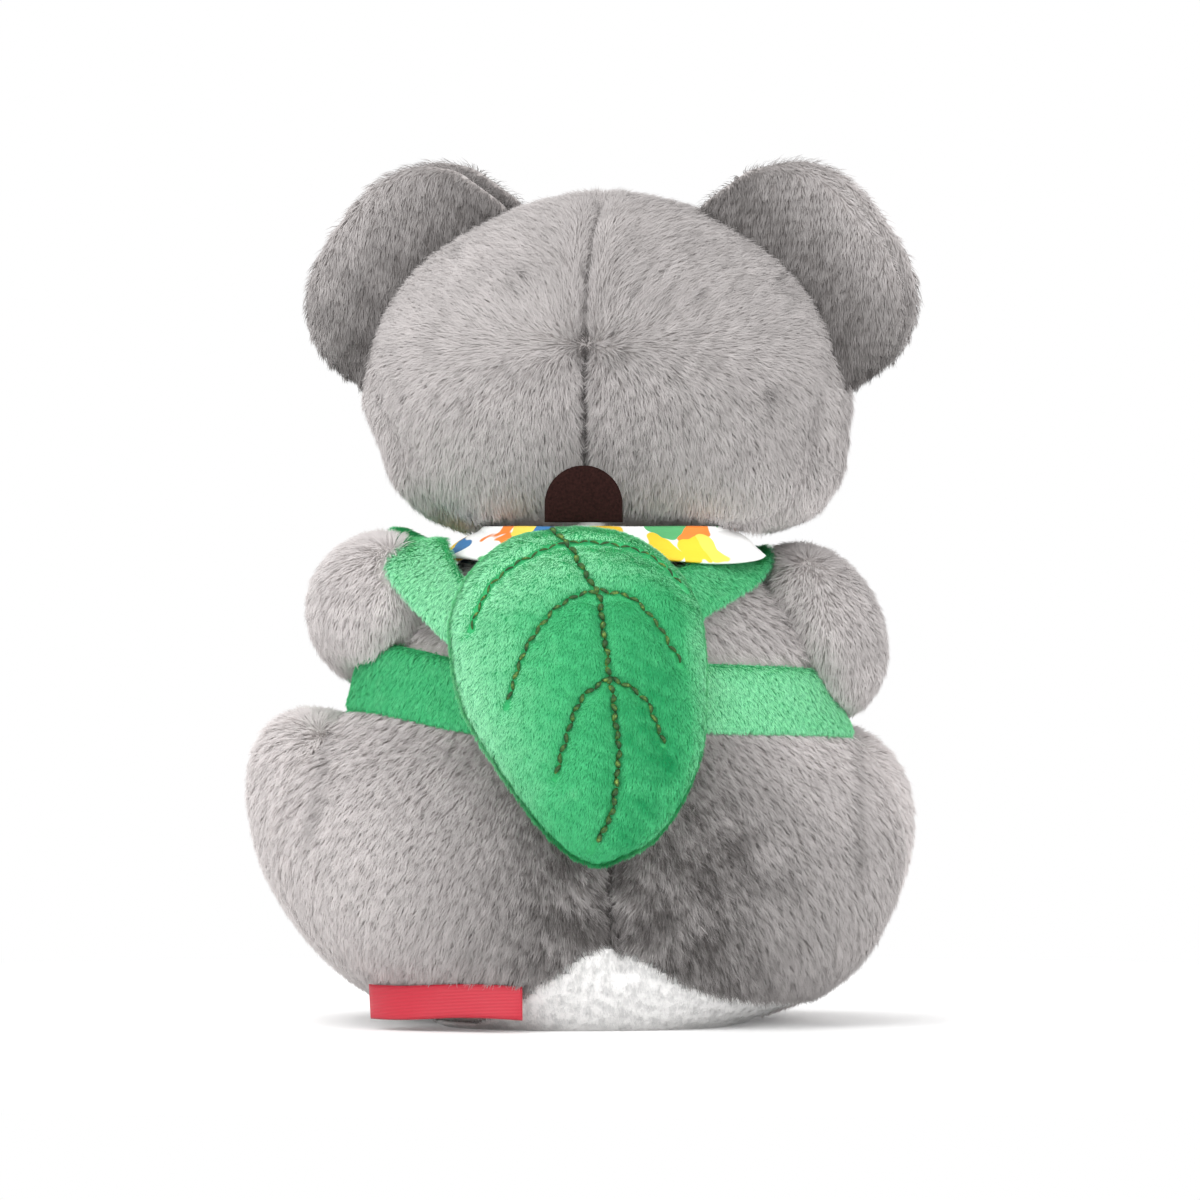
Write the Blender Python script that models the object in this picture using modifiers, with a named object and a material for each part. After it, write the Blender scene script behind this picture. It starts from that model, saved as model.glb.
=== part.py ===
"""A sitting plush koala with a leaf backpack: every cut, stuffed and hard piece as its own solid.

Metres, +Z up. The origin is on the floor under the middle of the seat, and the koala faces -Y.
"""

import bmesh
import bpy
from math import cos, pi, radians, sin
from mathutils import Matrix, Vector

# Gaps between neighbouring pieces
SEAM_GAP = 0.0003  # where two sewn pieces lie face to face
TURN_GAP = 0.0005  # round a stuffed root that can turn in its seat
BALL_GAP = 0.0009  # round a faceted ball, whose corners pass the seat's flats as it turns
OVERRUN = 0.020  # how far a cutter runs past what it cuts

# Torso, the largest stuffed form
TORSO_HEIGHT = 0.123
TORSO_WIDTH = 0.166
TORSO_DEPTH = 0.104
TORSO_LEAN = 0.0045  # how far the neck stands to the koala's right of the seat
# height, width and depth of each level, as shares of the torso's
TORSO_LEVEL_SHARES = (
    (0.000, 0.50, 0.60),
    (0.045, 0.67, 0.79),
    (0.140, 0.86, 0.94),
    (0.300, 0.985, 1.00),
    (0.440, 0.985, 0.985),
    (0.570, 0.845, 0.925),
    (0.700, 0.765, 0.855),
    (0.820, 0.68, 0.765),
    (0.920, 0.52, 0.65),
    (1.000, 0.33, 0.50),
)

# White panel that covers the belly and the seat, and comes up in a point behind
PANEL_THICKNESS = 0.0032
PANEL_BELLY_WIDTH = TORSO_WIDTH * 0.434
PANEL_BELLY_TOP = TORSO_HEIGHT * 0.780
PANEL_EDGE_HEIGHT = TORSO_HEIGHT * 0.065
PANEL_SEAT_FRONT = 0.0065  # how far forward the seat's side panels reach
PANEL_POINT_HEIGHT = TORSO_HEIGHT * 0.159
PANEL_POINT_WIDTH = TORSO_WIDTH * 0.361
PANEL_POINT_SHIFT = 0.002

# Squeaker behind the belly: a round soft bulb with a hard reed in its neck
SQUEAKER_DIAMETER = 0.040
SQUEAKER_THICKNESS = 0.014
SQUEAKER_HEIGHT = TORSO_HEIGHT * 0.390
SQUEAKER_SINK = 0.0088  # from the belly's face to the bulb
SQUEAKER_ROUND = 0.004
REED_DIAMETER = 0.009
REED_LENGTH = 0.007
REED_STAND_OUT = 0.0015

# Neck: a ball of stuffing that the head nods and turns on
NECK_RADIUS = 0.020
NECK_SINK = 0.005  # of the ball's middle, below the top of the torso

# Head
HEAD_BOTTOM = TORSO_HEIGHT + TURN_GAP
HEAD_HEIGHT = 0.085
HEAD_WIDTH = 0.124
HEAD_DEPTH = 0.088
HEAD_FORWARD = 0.009  # from the neck to the head's middle
HEAD_REST_TURN = radians(-15)
HEAD_LEVEL_SHARES = (
    (0.000, 0.64, 0.64),
    (0.055, 0.79, 0.80),
    (0.200, 0.935, 0.935),
    (0.390, 1.00, 1.00),
    (0.570, 0.965, 0.985),
    (0.740, 0.82, 0.87),
    (0.890, 0.55, 0.62),
    (1.000, 0.14, 0.16),
)
HOLLOW_MOUTH_RADIUS = 0.041  # the drawn-in hollow under the head
HOLLOW_TOP_RADIUS = 0.023
HOLLOW_DEPTH = 0.0075

# Face
MUZZLE_WIDTH = 0.050
MUZZLE_HEIGHT = 0.034
MUZZLE_DEPTH = 0.036
MUZZLE_LEVEL = HEAD_BOTTOM + HEAD_HEIGHT * 0.206
MUZZLE_STAND_OUT = 0.010
NOSE_WIDTH = 0.021
NOSE_HEIGHT = 0.027
NOSE_DEPTH = 0.016
NOSE_LEVEL = HEAD_BOTTOM + HEAD_HEIGHT * 0.335
NOSE_STAND_OUT = 0.006
EYE_DIAMETER = 0.0105
EYE_DOME = 0.0040
EYE_SPACING = HEAD_WIDTH * 0.387
EYE_LEVEL = HEAD_BOTTOM + HEAD_HEIGHT * 0.465
EYE_STEM_DIAMETER = 0.0034
EYE_STEM_LENGTH = 0.012
EYE_SEAT_SINK = 0.0015
WASHER_DIAMETER = 0.012
WASHER_THICKNESS = 0.0016
WASHER_DEPTH = 0.008  # along the stem, from the eye's seat

# Ears: each a back and a front layer, with a pale lining in the front one
EAR_LENGTH = 0.062
EAR_REACH = 0.037
EAR_THICKNESS = 0.0165
EAR_SPREAD = HEAD_WIDTH * 0.3306  # from the head's middle to the middle of the ear's root line
EAR_LEVEL = HEAD_BOTTOM + HEAD_HEIGHT * 0.6824
EAR_LEAN = radians(54)  # of the root line from level
EAR_BEHIND = 0.001  # of the ear's seam plane, behind the head's middle
EAR_SINK = 0.006  # of the cage below the root line
EAR_LINING_LENGTH = 0.036
EAR_LINING_REACH = 0.013  # from the middle of the ear to the lining's rim
EAR_LINING_THICKNESS = 0.0014
EAR_LINING_DEPTH_SHARE = 0.8  # of the ear's thickness that the lining's cut goes in
# head guides that trim an ear's root: the angle of each, and its gap as a share of the seam gap
EAR_FOLD_GUIDES = ((radians(-15), 1.5), (0.0, 1.0), (radians(15), 1.8))
# reach, length and thickness of each section, as shares of the ear's
EAR_SECTION_SHARES = (
    (0.00, 0.93, 0.74),
    (0.26, 1.00, 0.94),
    (0.52, 1.00, 1.00),
    (0.76, 0.87, 0.84),
    (0.92, 0.62, 0.58),
    (1.00, 0.30, 0.26),
)

# Arms
SHOULDER_SPREAD = TORSO_WIDTH * 0.3253
SHOULDER_LEVEL = TORSO_HEIGHT * 0.8577
ARM_RADIUS = 0.0190
ARM_REACH = 0.060  # forward, from the shoulder to the paw's tip
ARM_DROP = 0.009
ARM_CLOSE = 0.013  # how far the paw comes in towards the middle
ARM_CLEAR = 0.0033  # round the arm, for the strap that passes under it
# reach forward, outward shift, drop and radius, as shares
ARM_SECTION_SHARES = (
    (-0.30, 0.00, 0.00, 0.42),
    (-0.23, 0.00, 0.00, 0.80),
    (0.00, 0.00, 0.00, 1.03),
    (0.28, 0.00, 0.14, 1.03),
    (0.56, 0.16, 0.48, 0.98),
    (0.82, 0.68, 0.88, 0.83),
    (0.97, 1.00, 1.00, 0.46),
)

# Legs
HIP_SPREAD = TORSO_WIDTH * 0.3133
HIP_FORWARD = TORSO_DEPTH * 0.1346
LEG_TOP = {"left": TORSO_HEIGHT * 0.626, "right": TORSO_HEIGHT * 0.585}
LEG_ROOT_RADIUS = 0.0295
LEG_ROOT_BOTTOM = -0.0005
LEG_REACH = 0.068  # forward, from the hip to the sole
LEG_SPLAY = -0.008  # outward, so the feet point a little inward
LEG_DROP = 0.003  # from the hip's level to the middle of the foot
LEG_BLOCK_SPREAD = TORSO_WIDTH * 0.3855  # outside this, the leg is all there is in front of the seat
LEG_BLOCK_BACK = 0.003
SOLE_WIDTH = 0.030
SOLE_HEIGHT = 0.036
SOLE_THICKNESS = 0.0018
# reach, splay and drop, then width and height, as shares
LEG_SECTION_SHARES = (
    (0.00, 0.00, 0.00, 0.99, 0.99),
    (0.28, 0.22, 0.14, 1.00, 0.97),
    (0.60, 0.62, 0.58, 0.88, 0.82),
    (0.92, 1.00, 1.00, 0.76, 0.68),
    (1.05, 1.00, 1.00, 0.57, 0.52),
)
# height and radius of the barrel that turns in the seat, as shares
LEG_ROOT_SHARES = ((0.0, 0.66), (0.14, 0.91), (0.38, 1.0), (0.64, 1.0), (0.84, 0.89), (0.97, 0.58))

# Leaf backpack
LEAF_WIDTH = 0.0650
LEAF_HEIGHT = 0.0860
LEAF_PUFF = 0.0170
LEAF_TIP_LEVEL = TORSO_HEIGHT * 0.3293
LEAF_SHIFT = 0.0062
LEAF_TILT = radians(8)  # the top leans towards the neck
LEAF_ROLL = radians(4)
LEAF_BACK_GAP = 0.0012  # from the torso's back to the backing, at the leaf's middle
LEAF_BACKING = 0.0020
LEAF_HINGE_SHARE = 0.9  # height of the line that it lifts about
# height above the tip and half width of the outline, as shares of the leaf's
LEAF_OUTLINE_SHARES = (
    (0.000, 0.06),
    (0.040, 0.25),
    (0.160, 0.54),
    (0.310, 0.78),
    (0.470, 0.93),
    (0.630, 1.00),
    (0.770, 0.95),
    (0.890, 0.74),
    (0.970, 0.43),
    (1.000, 0.12),
)
# outline and puff of each ring of the pillow, as shares
LEAF_PUFF_SHARES = ((0.93, 0.00), (1.00, 0.14), (0.97, 0.42), (0.80, 0.76), (0.45, 0.98))
STEM_WIDTH = 0.0192
STEM_HEIGHT = 0.0140
STEM_THICKNESS = 0.0018
STEM_SEGMENTS = 10

# Straps of the leaf backpack: one loop round each arm
STRAP_WIDTH = 0.0170
STRAP_THICKNESS = 0.0022
STRAP_LOWER_LEVEL = {"left": TORSO_HEIGHT * 0.7073, "right": TORSO_HEIGHT * 0.6707}
STRAP_LOWER_TILT = {"left": radians(6), "right": radians(-1)}
STRAP_UPPER_SPREAD = TORSO_WIDTH * 0.2319
STRAP_UPPER_LEVEL = TORSO_HEIGHT * 0.8780
STRAP_UPPER_TILT = {"left": radians(-44), "right": radians(-30)}
STRAP_FRONT_SPREAD = TORSO_WIDTH * 0.25
STRAP_ARM_GAP = 0.0016

# Bandana under the head: a band round the neck and a pointed bib
BANDANA_THICKNESS = 0.0016
BANDANA_RADIUS = TORSO_WIDTH * 0.241
BANDANA_NECK_GAP = 0.0020
BANDANA_BIB_WIDTH = TORSO_WIDTH * 0.337
BANDANA_BIB_TOP = TORSO_HEIGHT * 0.9106
BANDANA_BIB_POINT = TORSO_HEIGHT * 0.5528

# Folded woven label in the seam behind the seat
LABEL_LENGTH = 0.037
LABEL_HEIGHT = 0.0085
LABEL_THICKNESS = 0.0012
LABEL_INNER_END = TORSO_WIDTH * 0.0934
LABEL_LEVEL = TORSO_HEIGHT * 0.0179
LABEL_LEG_GAP = 0.0015

# Facets
FORM_SIDES = 12
LIMB_SIDES = 10
EAR_SIDES = 10
BALL_SEGMENTS = 16
BALL_RINGS = 9
ROUND_SEGMENTS = 16
DOME_STEPS = 4
LEAF_SWELL_SHARE = 1.02  # a subdivided cage of the leaf's outline draws in by this much

# Places that several pieces share
NECK_POINT = Vector((-TORSO_LEAN, 0.0, TORSO_HEIGHT - NECK_SINK))
SIDES = {"left": 1.0, "right": -1.0}  # the koala's own left is at +X


def start():
    """Empties the scene and makes the two collections."""
    for old in list(bpy.data.objects):
        bpy.data.objects.remove(old)
    made = {}
    for name in ("plush_koala", "cutters"):
        made[name] = bpy.data.collections.new(name)
        bpy.context.scene.collection.children.link(made[name])
    return made["plush_koala"], made["cutters"]


PARTS, CUTTERS = start()


def fabric(name, colour, roughness=0.9, metallic=0.0):
    material = bpy.data.materials.new(name)
    material.use_nodes = True
    shader = material.node_tree.nodes["Principled BSDF"]
    shader.inputs["Base Color"].default_value = (*colour, 1.0)
    shader.inputs["Roughness"].default_value = roughness
    shader.inputs["Metallic"].default_value = metallic
    material.diffuse_color = (*colour, 1.0)
    return material


GREY_PLUSH = fabric("grey_plush", (0.48, 0.45, 0.43))
WHITE_PLUSH = fabric("white_plush", (0.86, 0.85, 0.83))
GREEN_PLUSH = fabric("green_plush", (0.09, 0.50, 0.20))
BROWN_FELT = fabric("brown_felt", (0.045, 0.018, 0.015))
PRINTED_COTTON = fabric("printed_cotton", (0.88, 0.86, 0.80), 0.8)
RED_RIBBON = fabric("red_ribbon", (0.70, 0.02, 0.03), 0.6)
BLACK_PLUSH = fabric("black_plush", (0.02, 0.018, 0.018))
BLACK_PLASTIC = fabric("black_plastic", (0.01, 0.01, 0.01), 0.15)
WHITE_PLASTIC = fabric("white_plastic", (0.80, 0.80, 0.78), 0.4)
STUFFING = fabric("stuffing", (0.90, 0.90, 0.88), 1.0)


def place(mesh, name, material=None):
    """An object of this mesh: a part if it has a material, and otherwise a hidden cutter."""
    thing = bpy.data.objects.new(name, mesh)
    if material:
        PARTS.objects.link(thing)
        mesh.materials.append(material)
    else:
        CUTTERS.objects.link(thing)
        thing.hide_render = True
        thing.display_type = "WIRE"
    return thing


def from_bmesh(shape, name, material=None, smooth=True):
    bmesh.ops.recalc_face_normals(shape, faces=shape.faces)
    mesh = bpy.data.meshes.new(name)
    shape.to_mesh(mesh)
    shape.free()
    if smooth:
        mesh.shade_smooth()
    return place(mesh, name, material)


def ball(name, centre, radii, material=None):
    """An ellipsoid with these three radii."""
    shape = bmesh.new()
    bmesh.ops.create_uvsphere(shape, u_segments=BALL_SEGMENTS, v_segments=BALL_RINGS, radius=1)
    matrix = Matrix.Translation(centre) @ Matrix.Diagonal((*radii, 1))
    bmesh.ops.transform(shape, matrix=matrix, verts=shape.verts)
    return from_bmesh(shape, name, material)


def box(name, low, high, turn=None):
    """A box between two corners, turned about its own middle if asked."""
    low, high = Vector(low), Vector(high)
    shape = bmesh.new()
    bmesh.ops.create_cube(shape, size=1)
    stand = Matrix.Translation((low + high) / 2) @ (turn or Matrix.Identity(4))
    bmesh.ops.transform(shape, matrix=stand @ Matrix.Diagonal((*(high - low), 1)), verts=shape.verts)
    return from_bmesh(shape, name, smooth=False)


def round_bar(name, start_point, end_point, start_radius, end_radius=None, material=None):
    """A cylinder or cone between two points."""
    start_point, end_point = Vector(start_point), Vector(end_point)
    along = end_point - start_point
    shape = bmesh.new()
    bmesh.ops.create_cone(
        shape,
        cap_ends=True,
        segments=ROUND_SEGMENTS,
        radius1=start_radius,
        radius2=start_radius if end_radius is None else end_radius,
        depth=along.length,
    )
    turn = along.to_track_quat("Z", "Y").to_matrix().to_4x4()
    matrix = Matrix.Translation((start_point + end_point) / 2) @ turn
    bmesh.ops.transform(shape, matrix=matrix, verts=shape.verts)
    return from_bmesh(shape, name, material)


def plate(name, outline, thickness, matrix, material=None):
    """A flat outline in local XY with half its thickness each side of it, as a closed mesh."""
    curve = bpy.data.curves.new(name, "CURVE")
    curve.dimensions = "2D"
    curve.fill_mode = "BOTH"
    curve.extrude = thickness / 2
    spline = curve.splines.new("POLY")
    spline.points.add(len(outline) - 1)
    for point, (x, y) in zip(spline.points, outline):
        point.co = (x, y, 0.0, 1.0)
    spline.use_cyclic_u = True
    flat = bpy.data.objects.new(name + "_outline", curve)
    CUTTERS.objects.link(flat)
    bpy.context.view_layer.update()
    graph = bpy.context.evaluated_depsgraph_get()
    mesh = bpy.data.meshes.new_from_object(flat.evaluated_get(graph))
    bpy.data.objects.remove(flat)
    shape = bmesh.new()
    shape.from_mesh(mesh)
    bmesh.ops.remove_doubles(shape, verts=shape.verts, dist=SEAM_GAP / 10)
    bmesh.ops.transform(shape, matrix=matrix, verts=shape.verts)
    bpy.data.meshes.remove(mesh)
    return from_bmesh(shape, name, material, smooth=False)


def oval(middle, wide, deep, sides, flat_side=False):
    """A section's middle and the points round it. A flat side keeps only the half that deep points to."""
    points = []
    drawn_in = (3 + cos(2 * pi / sides)) / 4  # what one subdivision leaves of a ring's radius
    for angle in angles_round(sides):
        rise = sin(angle)
        if flat_side:
            rise = max(rise, 0.0)
        points.append(middle + (wide * cos(angle) + deep * rise) / drawn_in)
    return middle, points


def loft(name, rings, material=None):
    """A stuffed form through rings of points, closed at both ends, and subdivided."""
    shape = bmesh.new()
    loops = [[shape.verts.new(point) for point in points] for _, points in rings]
    sides = len(loops[0])
    for lower, upper in zip(loops, loops[1:]):
        for i in range(sides):
            j = (i + 1) % sides
            shape.faces.new((lower[i], lower[j], upper[j], upper[i]))
    for loop, (middle, _) in ((loops[0], rings[0]), (loops[-1], rings[-1])):
        pole = shape.verts.new(middle)
        for i in range(sides):
            shape.faces.new((loop[i], loop[(i + 1) % sides], pole))
    made = from_bmesh(shape, name, material)
    rounder = made.modifiers.new("rounder", "SUBSURF")
    rounder.levels = rounder.render_levels = 1
    return made


def boolean(thing, other, operation, solver="EXACT"):
    modifier = thing.modifiers.new(other.name, "BOOLEAN")
    modifier.operation = operation
    modifier.solver = solver
    modifier.object = other
    return thing


def cut(thing, *cutters, solver="EXACT"):
    for cutter in cutters:
        boolean(thing, cutter, "DIFFERENCE", solver)
    return thing


def keep_inside(thing, other, solver="EXACT"):
    return boolean(thing, other, "INTERSECT", solver)


def join(thing, *others, solver="EXACT"):
    for other in others:
        boolean(thing, other, "UNION", solver)
    return thing


# Torso and what is sewn to it


def torso_middle(share):
    """The middle of the torso at a share of its height."""
    return Vector((-TORSO_LEAN * share, 0.0, TORSO_HEIGHT * share))


def torso_form(name, swell=0.0, material=None):
    """The torso's outer shape, swollen or drawn in all round."""
    rings = []
    for share, width, depth in TORSO_LEVEL_SHARES:
        middle = torso_middle(share) + Vector((0.0, 0.0, swell * (2 * share - 1)))
        wide = Vector((TORSO_WIDTH / 2 * width + swell, 0.0, 0.0))
        deep = Vector((0.0, TORSO_DEPTH / 2 * depth + swell, 0.0))
        rings.append(oval(middle, wide, deep, FORM_SIDES))
    return loft(name, rings, material)


def below_floor(name):
    reach = TORSO_WIDTH + OVERRUN
    return box(name, (-reach, -reach, -OVERRUN), (reach, reach, 0.0))


def shoulder(side):
    return Vector((SIDES[side] * SHOULDER_SPREAD - TORSO_LEAN, 0.0, SHOULDER_LEVEL))


def hip(side):
    return Vector((SIDES[side] * HIP_SPREAD, -HIP_FORWARD, (LEG_TOP[side] + LEG_ROOT_BOTTOM) / 2))


def leg_height(side):
    return LEG_TOP[side] - LEG_ROOT_BOTTOM


def leg_root(name, side, grow=0.0):
    """The part of the leg that turns in the seat: a barrel about the hip's upright axis."""
    rings = []
    for share, radius in LEG_ROOT_SHARES:
        radius = LEG_ROOT_RADIUS * radius + grow
        height = leg_height(side) * (share - 0.5) + grow * (2 * share - 1)
        middle = hip(side) + Vector((0.0, 0.0, height))
        rings.append(oval(middle, Vector((radius, 0.0, 0.0)), Vector((0.0, radius, 0.0)), LIMB_SIDES))
    return loft(name, rings)


def leg_room(side):
    """The room in front of the seat where only the leg lies."""
    sign = SIDES[side]
    ends = sorted((sign * LEG_BLOCK_SPREAD, sign * (TORSO_WIDTH / 2 + OVERRUN)))
    low = (ends[0], -TORSO_DEPTH, -OVERRUN)
    high = (ends[1], LEG_BLOCK_BACK, LEG_TOP[side])
    return box(f"leg_room_{side}", low, high)


def panel_region(name, margin):
    """Everything that the white panel covers: the belly, the seat, and the point behind."""
    reach = TORSO_DEPTH / 2 + OVERRUN
    upright = Matrix.Rotation(pi / 2, 4, "X")
    half = PANEL_BELLY_WIDTH / 2 + margin
    middle = PANEL_BELLY_TOP / 2
    tall = middle + margin
    oval = [(half * cos(t) - TORSO_LEAN / 2, middle + tall * sin(t)) for t in angles_round(BALL_SEGMENTS)]
    front = plate(name, oval, reach, Matrix.Translation((0.0, -reach / 2, 0.0)) @ upright)
    edge = PANEL_EDGE_HEIGHT + margin
    wide = TORSO_WIDTH / 2 + OVERRUN
    far = reach + OVERRUN
    seat_outline = [
        (-half, -far),
        (half, -far),
        (half, -PANEL_SEAT_FRONT),
        (wide, -PANEL_SEAT_FRONT),
        (wide, far),
        (-wide, far),
        (-wide, -PANEL_SEAT_FRONT),
        (-half, -PANEL_SEAT_FRONT),
    ]
    under = Matrix.Translation((0.0, 0.0, (edge - OVERRUN) / 2))
    seat = plate(name + "_seat", seat_outline, edge + OVERRUN, under)
    point = PANEL_POINT_WIDTH / 2 + margin
    tent = [
        (PANEL_POINT_SHIFT - point, -OVERRUN / 2),
        (PANEL_POINT_SHIFT + point, -OVERRUN / 2),
        (PANEL_POINT_SHIFT + point, PANEL_EDGE_HEIGHT / 2),
        (PANEL_POINT_SHIFT, PANEL_POINT_HEIGHT + margin),
        (PANEL_POINT_SHIFT - point, PANEL_EDGE_HEIGHT / 2),
    ]
    back = plate(name + "_point", tent, reach, Matrix.Translation((0.0, reach / 2, 0.0)) @ upright)
    return join(front, seat, back, solver="MANIFOLD")


def angles_round(count):
    return [2 * pi * i / count for i in range(count)]


def torso():
    """The torso with its seats, rooms and recess, whose faces lie too close together for the EXACT solver."""
    body = torso_form("torso", material=GREY_PLUSH)
    recess = panel_region("panel_recess", SEAM_GAP)
    cut(recess, torso_form("torso_core", -(PANEL_THICKNESS + SEAM_GAP)), solver="MANIFOLD")
    cutters = [recess, ball("neck_seat_in_torso", NECK_POINT, [NECK_RADIUS + BALL_GAP] * 3)]
    for side in SIDES:
        cutters.append(ball(f"arm_seat_{side}", shoulder(side), [ARM_RADIUS + BALL_GAP] * 3))
        cutters += [leg_root(f"leg_seat_{side}", side, TURN_GAP), leg_room(side)]
    pocket_radius = SQUEAKER_DIAMETER / 2 + SEAM_GAP
    back = squeaker_face() + SQUEAKER_THICKNESS + SEAM_GAP
    pocket_end = (squeaker_middle(), back, SQUEAKER_HEIGHT)
    pocket_mouth = (squeaker_middle(), -TORSO_DEPTH / 2 - OVERRUN, SQUEAKER_HEIGHT)
    cutters.append(round_bar("squeaker_pocket", pocket_end, pocket_mouth, pocket_radius))
    cut(body, *cutters, solver="MANIFOLD")


def belly_panel():
    """The white panel: a slice of the torso's own skin, too thin for the EXACT solver."""
    panel = torso_form("belly_panel", material=WHITE_PLUSH)
    keep_inside(panel, panel_region("panel_cut", 0.0), solver="MANIFOLD")
    cut(panel, torso_form("torso_under_panel", -PANEL_THICKNESS), solver="MANIFOLD")
    cut(panel, below_floor("floor_under_panel"), solver="MANIFOLD")
    for side in SIDES:
        seat = leg_root(f"leg_seat_in_panel_{side}", side, TURN_GAP)
        cut(panel, seat, bpy.data.objects[f"leg_room_{side}"], solver="MANIFOLD")


def squeaker_middle():
    return -TORSO_LEAN * SQUEAKER_HEIGHT / TORSO_HEIGHT


def squeaker_face():
    """Y of the squeaker's front face."""
    return -TORSO_DEPTH / 2 + SQUEAKER_SINK


def squeaker():
    """The bulb and its reed, with the reed's axis along Y."""
    face = squeaker_face()
    middle = Vector((squeaker_middle(), face + SQUEAKER_THICKNESS / 2, SQUEAKER_HEIGHT))
    half = Vector((0.0, SQUEAKER_THICKNESS / 2, 0.0))
    radius = SQUEAKER_DIAMETER / 2
    bulb = round_bar("squeaker_bulb", middle - half, middle + half, radius, material=WHITE_PLASTIC)
    rounding = bulb.modifiers.new("rim", "BEVEL")
    rounding.width = SQUEAKER_ROUND
    rounding.segments = 2
    mouth = middle - half
    inner = mouth + Vector((0.0, REED_LENGTH - REED_STAND_OUT, 0.0))
    outer = mouth - Vector((0.0, REED_STAND_OUT, 0.0))
    bore_end = inner + Vector((0.0, SEAM_GAP, 0.0))
    cut(bulb, round_bar("reed_bore", bore_end, outer, REED_DIAMETER / 2 + SEAM_GAP))
    round_bar("squeaker_reed", inner, outer, REED_DIAMETER / 2, material=BLACK_PLASTIC)


def neck_stuffing():
    ball("neck_stuffing", NECK_POINT, [NECK_RADIUS] * 3, STUFFING)


# Head, in its own frame: x across, y from the face to the back, z up, turned as a whole about the neck


def head_frame():
    """Carries a point of the head's own frame, with its origin under the neck, into place."""
    under = Matrix.Translation((NECK_POINT.x, NECK_POINT.y, 0.0))
    return under @ Matrix.Rotation(HEAD_REST_TURN, 4, "Z")


def turned(thing):
    """Turns a piece that was made in the head's frame."""
    thing.matrix_world = head_frame()
    return thing


def head_half_width(level_share):
    return HEAD_WIDTH / 2 * level_share


def head_form(name, swell=0.0, material=None):
    rings = []
    for share, width, depth in HEAD_LEVEL_SHARES:
        height = HEAD_BOTTOM + HEAD_HEIGHT * share + swell * (2 * share - 1)
        wide = Vector((head_half_width(width) + swell, 0.0, 0.0))
        deep = Vector((0.0, HEAD_DEPTH / 2 * depth + swell, 0.0))
        rings.append(oval(Vector((0.0, -HEAD_FORWARD, height)), wide, deep, FORM_SIDES))
    return turned(loft(name, rings, material))


def face_y(across):
    """Y of the face in the head's frame, this far from the middle, at the head's widest level."""
    bulge = (1 - (across / (HEAD_WIDTH / 2)) ** 2) ** 0.5
    return -HEAD_FORWARD - HEAD_DEPTH / 2 * bulge


def eye_seat(side):
    """Where an eye meets the face, and the way that it looks."""
    across = EYE_SPACING / 2
    seat = Vector((SIDES[side] * across, face_y(across) + EYE_SEAT_SINK, EYE_LEVEL))
    outward = Vector((seat.x / (HEAD_WIDTH / 2) ** 2, (seat.y + HEAD_FORWARD) / (HEAD_DEPTH / 2) ** 2, 0.0))
    return seat, outward.normalized()


def head():
    skull = head_form("head", material=GREY_PLUSH)
    neck = NECK_POINT.z
    cut(skull, turned(ball("neck_seat_in_head", (0.0, 0.0, neck), [NECK_RADIUS + BALL_GAP] * 3)))
    mouth = (0.0, 0.0, HEAD_BOTTOM - SEAM_GAP)
    top = (0.0, 0.0, HEAD_BOTTOM + HOLLOW_DEPTH)
    cut(skull, turned(round_bar("head_hollow", mouth, top, HOLLOW_MOUTH_RADIUS, HOLLOW_TOP_RADIUS)))
    for side in SIDES:
        seat, outward = eye_seat(side)
        stem_end = seat - outward * (EYE_STEM_LENGTH + SEAM_GAP)
        stem_radius = EYE_STEM_DIAMETER / 2 + SEAM_GAP
        cut(skull, turned(round_bar(f"eye_hole_{side}", stem_end, seat + outward * OVERRUN, stem_radius)))
        socket_radius = EYE_DIAMETER / 2 + SEAM_GAP
        sunk = seat - outward * SEAM_GAP
        cut(skull, turned(round_bar(f"eye_socket_{side}", sunk, seat + outward * OVERRUN, socket_radius)))
        washer = [seat - outward * (WASHER_DEPTH + d) for d in (-SEAM_GAP, WASHER_THICKNESS + SEAM_GAP)]
        cut(skull, turned(round_bar(f"washer_room_{side}", *washer, WASHER_DIAMETER / 2 + SEAM_GAP)))
    return skull


def eye(side):
    """A domed safety eye turned about its stem, and the washer that locks it inside the head."""
    seat, outward = eye_seat(side)
    radius, stem = EYE_DIAMETER / 2, EYE_STEM_DIAMETER / 2
    quarter = [pi / 2 * i / DOME_STEPS for i in range(DOME_STEPS + 1)]
    profile = [(radius * sin(t), EYE_DOME * cos(t)) for t in quarter]
    profile += [(stem, 0.0), (stem, -EYE_STEM_LENGTH), (0.0, -EYE_STEM_LENGTH)]
    shape = bmesh.new()
    points = [shape.verts.new((x, 0.0, z)) for x, z in profile]
    for a, b in zip(points, points[1:]):
        shape.edges.new((a, b))
    mesh = bpy.data.meshes.new(f"eye_{side}")
    shape.to_mesh(mesh)
    shape.free()
    dome = place(mesh, f"eye_{side}", BLACK_PLASTIC)
    screw = dome.modifiers.new("turn", "SCREW")
    screw.steps = screw.render_steps = BALL_SEGMENTS
    screw.use_merge_vertices = True
    screw.merge_threshold = SEAM_GAP / 10
    stand = outward.to_track_quat("Z", "Y").to_matrix().to_4x4()
    dome.matrix_world = head_frame() @ Matrix.Translation(seat) @ stand
    back, front = (seat - outward * (WASHER_DEPTH + d) for d in (WASHER_THICKNESS, 0.0))
    washer = round_bar(f"eye_washer_{side}", back, front, WASHER_DIAMETER / 2, material=WHITE_PLASTIC)
    hole_start = back - outward * WASHER_THICKNESS
    hole_end = front + outward * WASHER_THICKNESS
    cut(washer, round_bar(f"washer_hole_{side}", hole_start, hole_end, stem + SEAM_GAP))
    bpy.data.objects[f"washer_hole_{side}"].matrix_world = head_frame()
    turned(washer)


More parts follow.
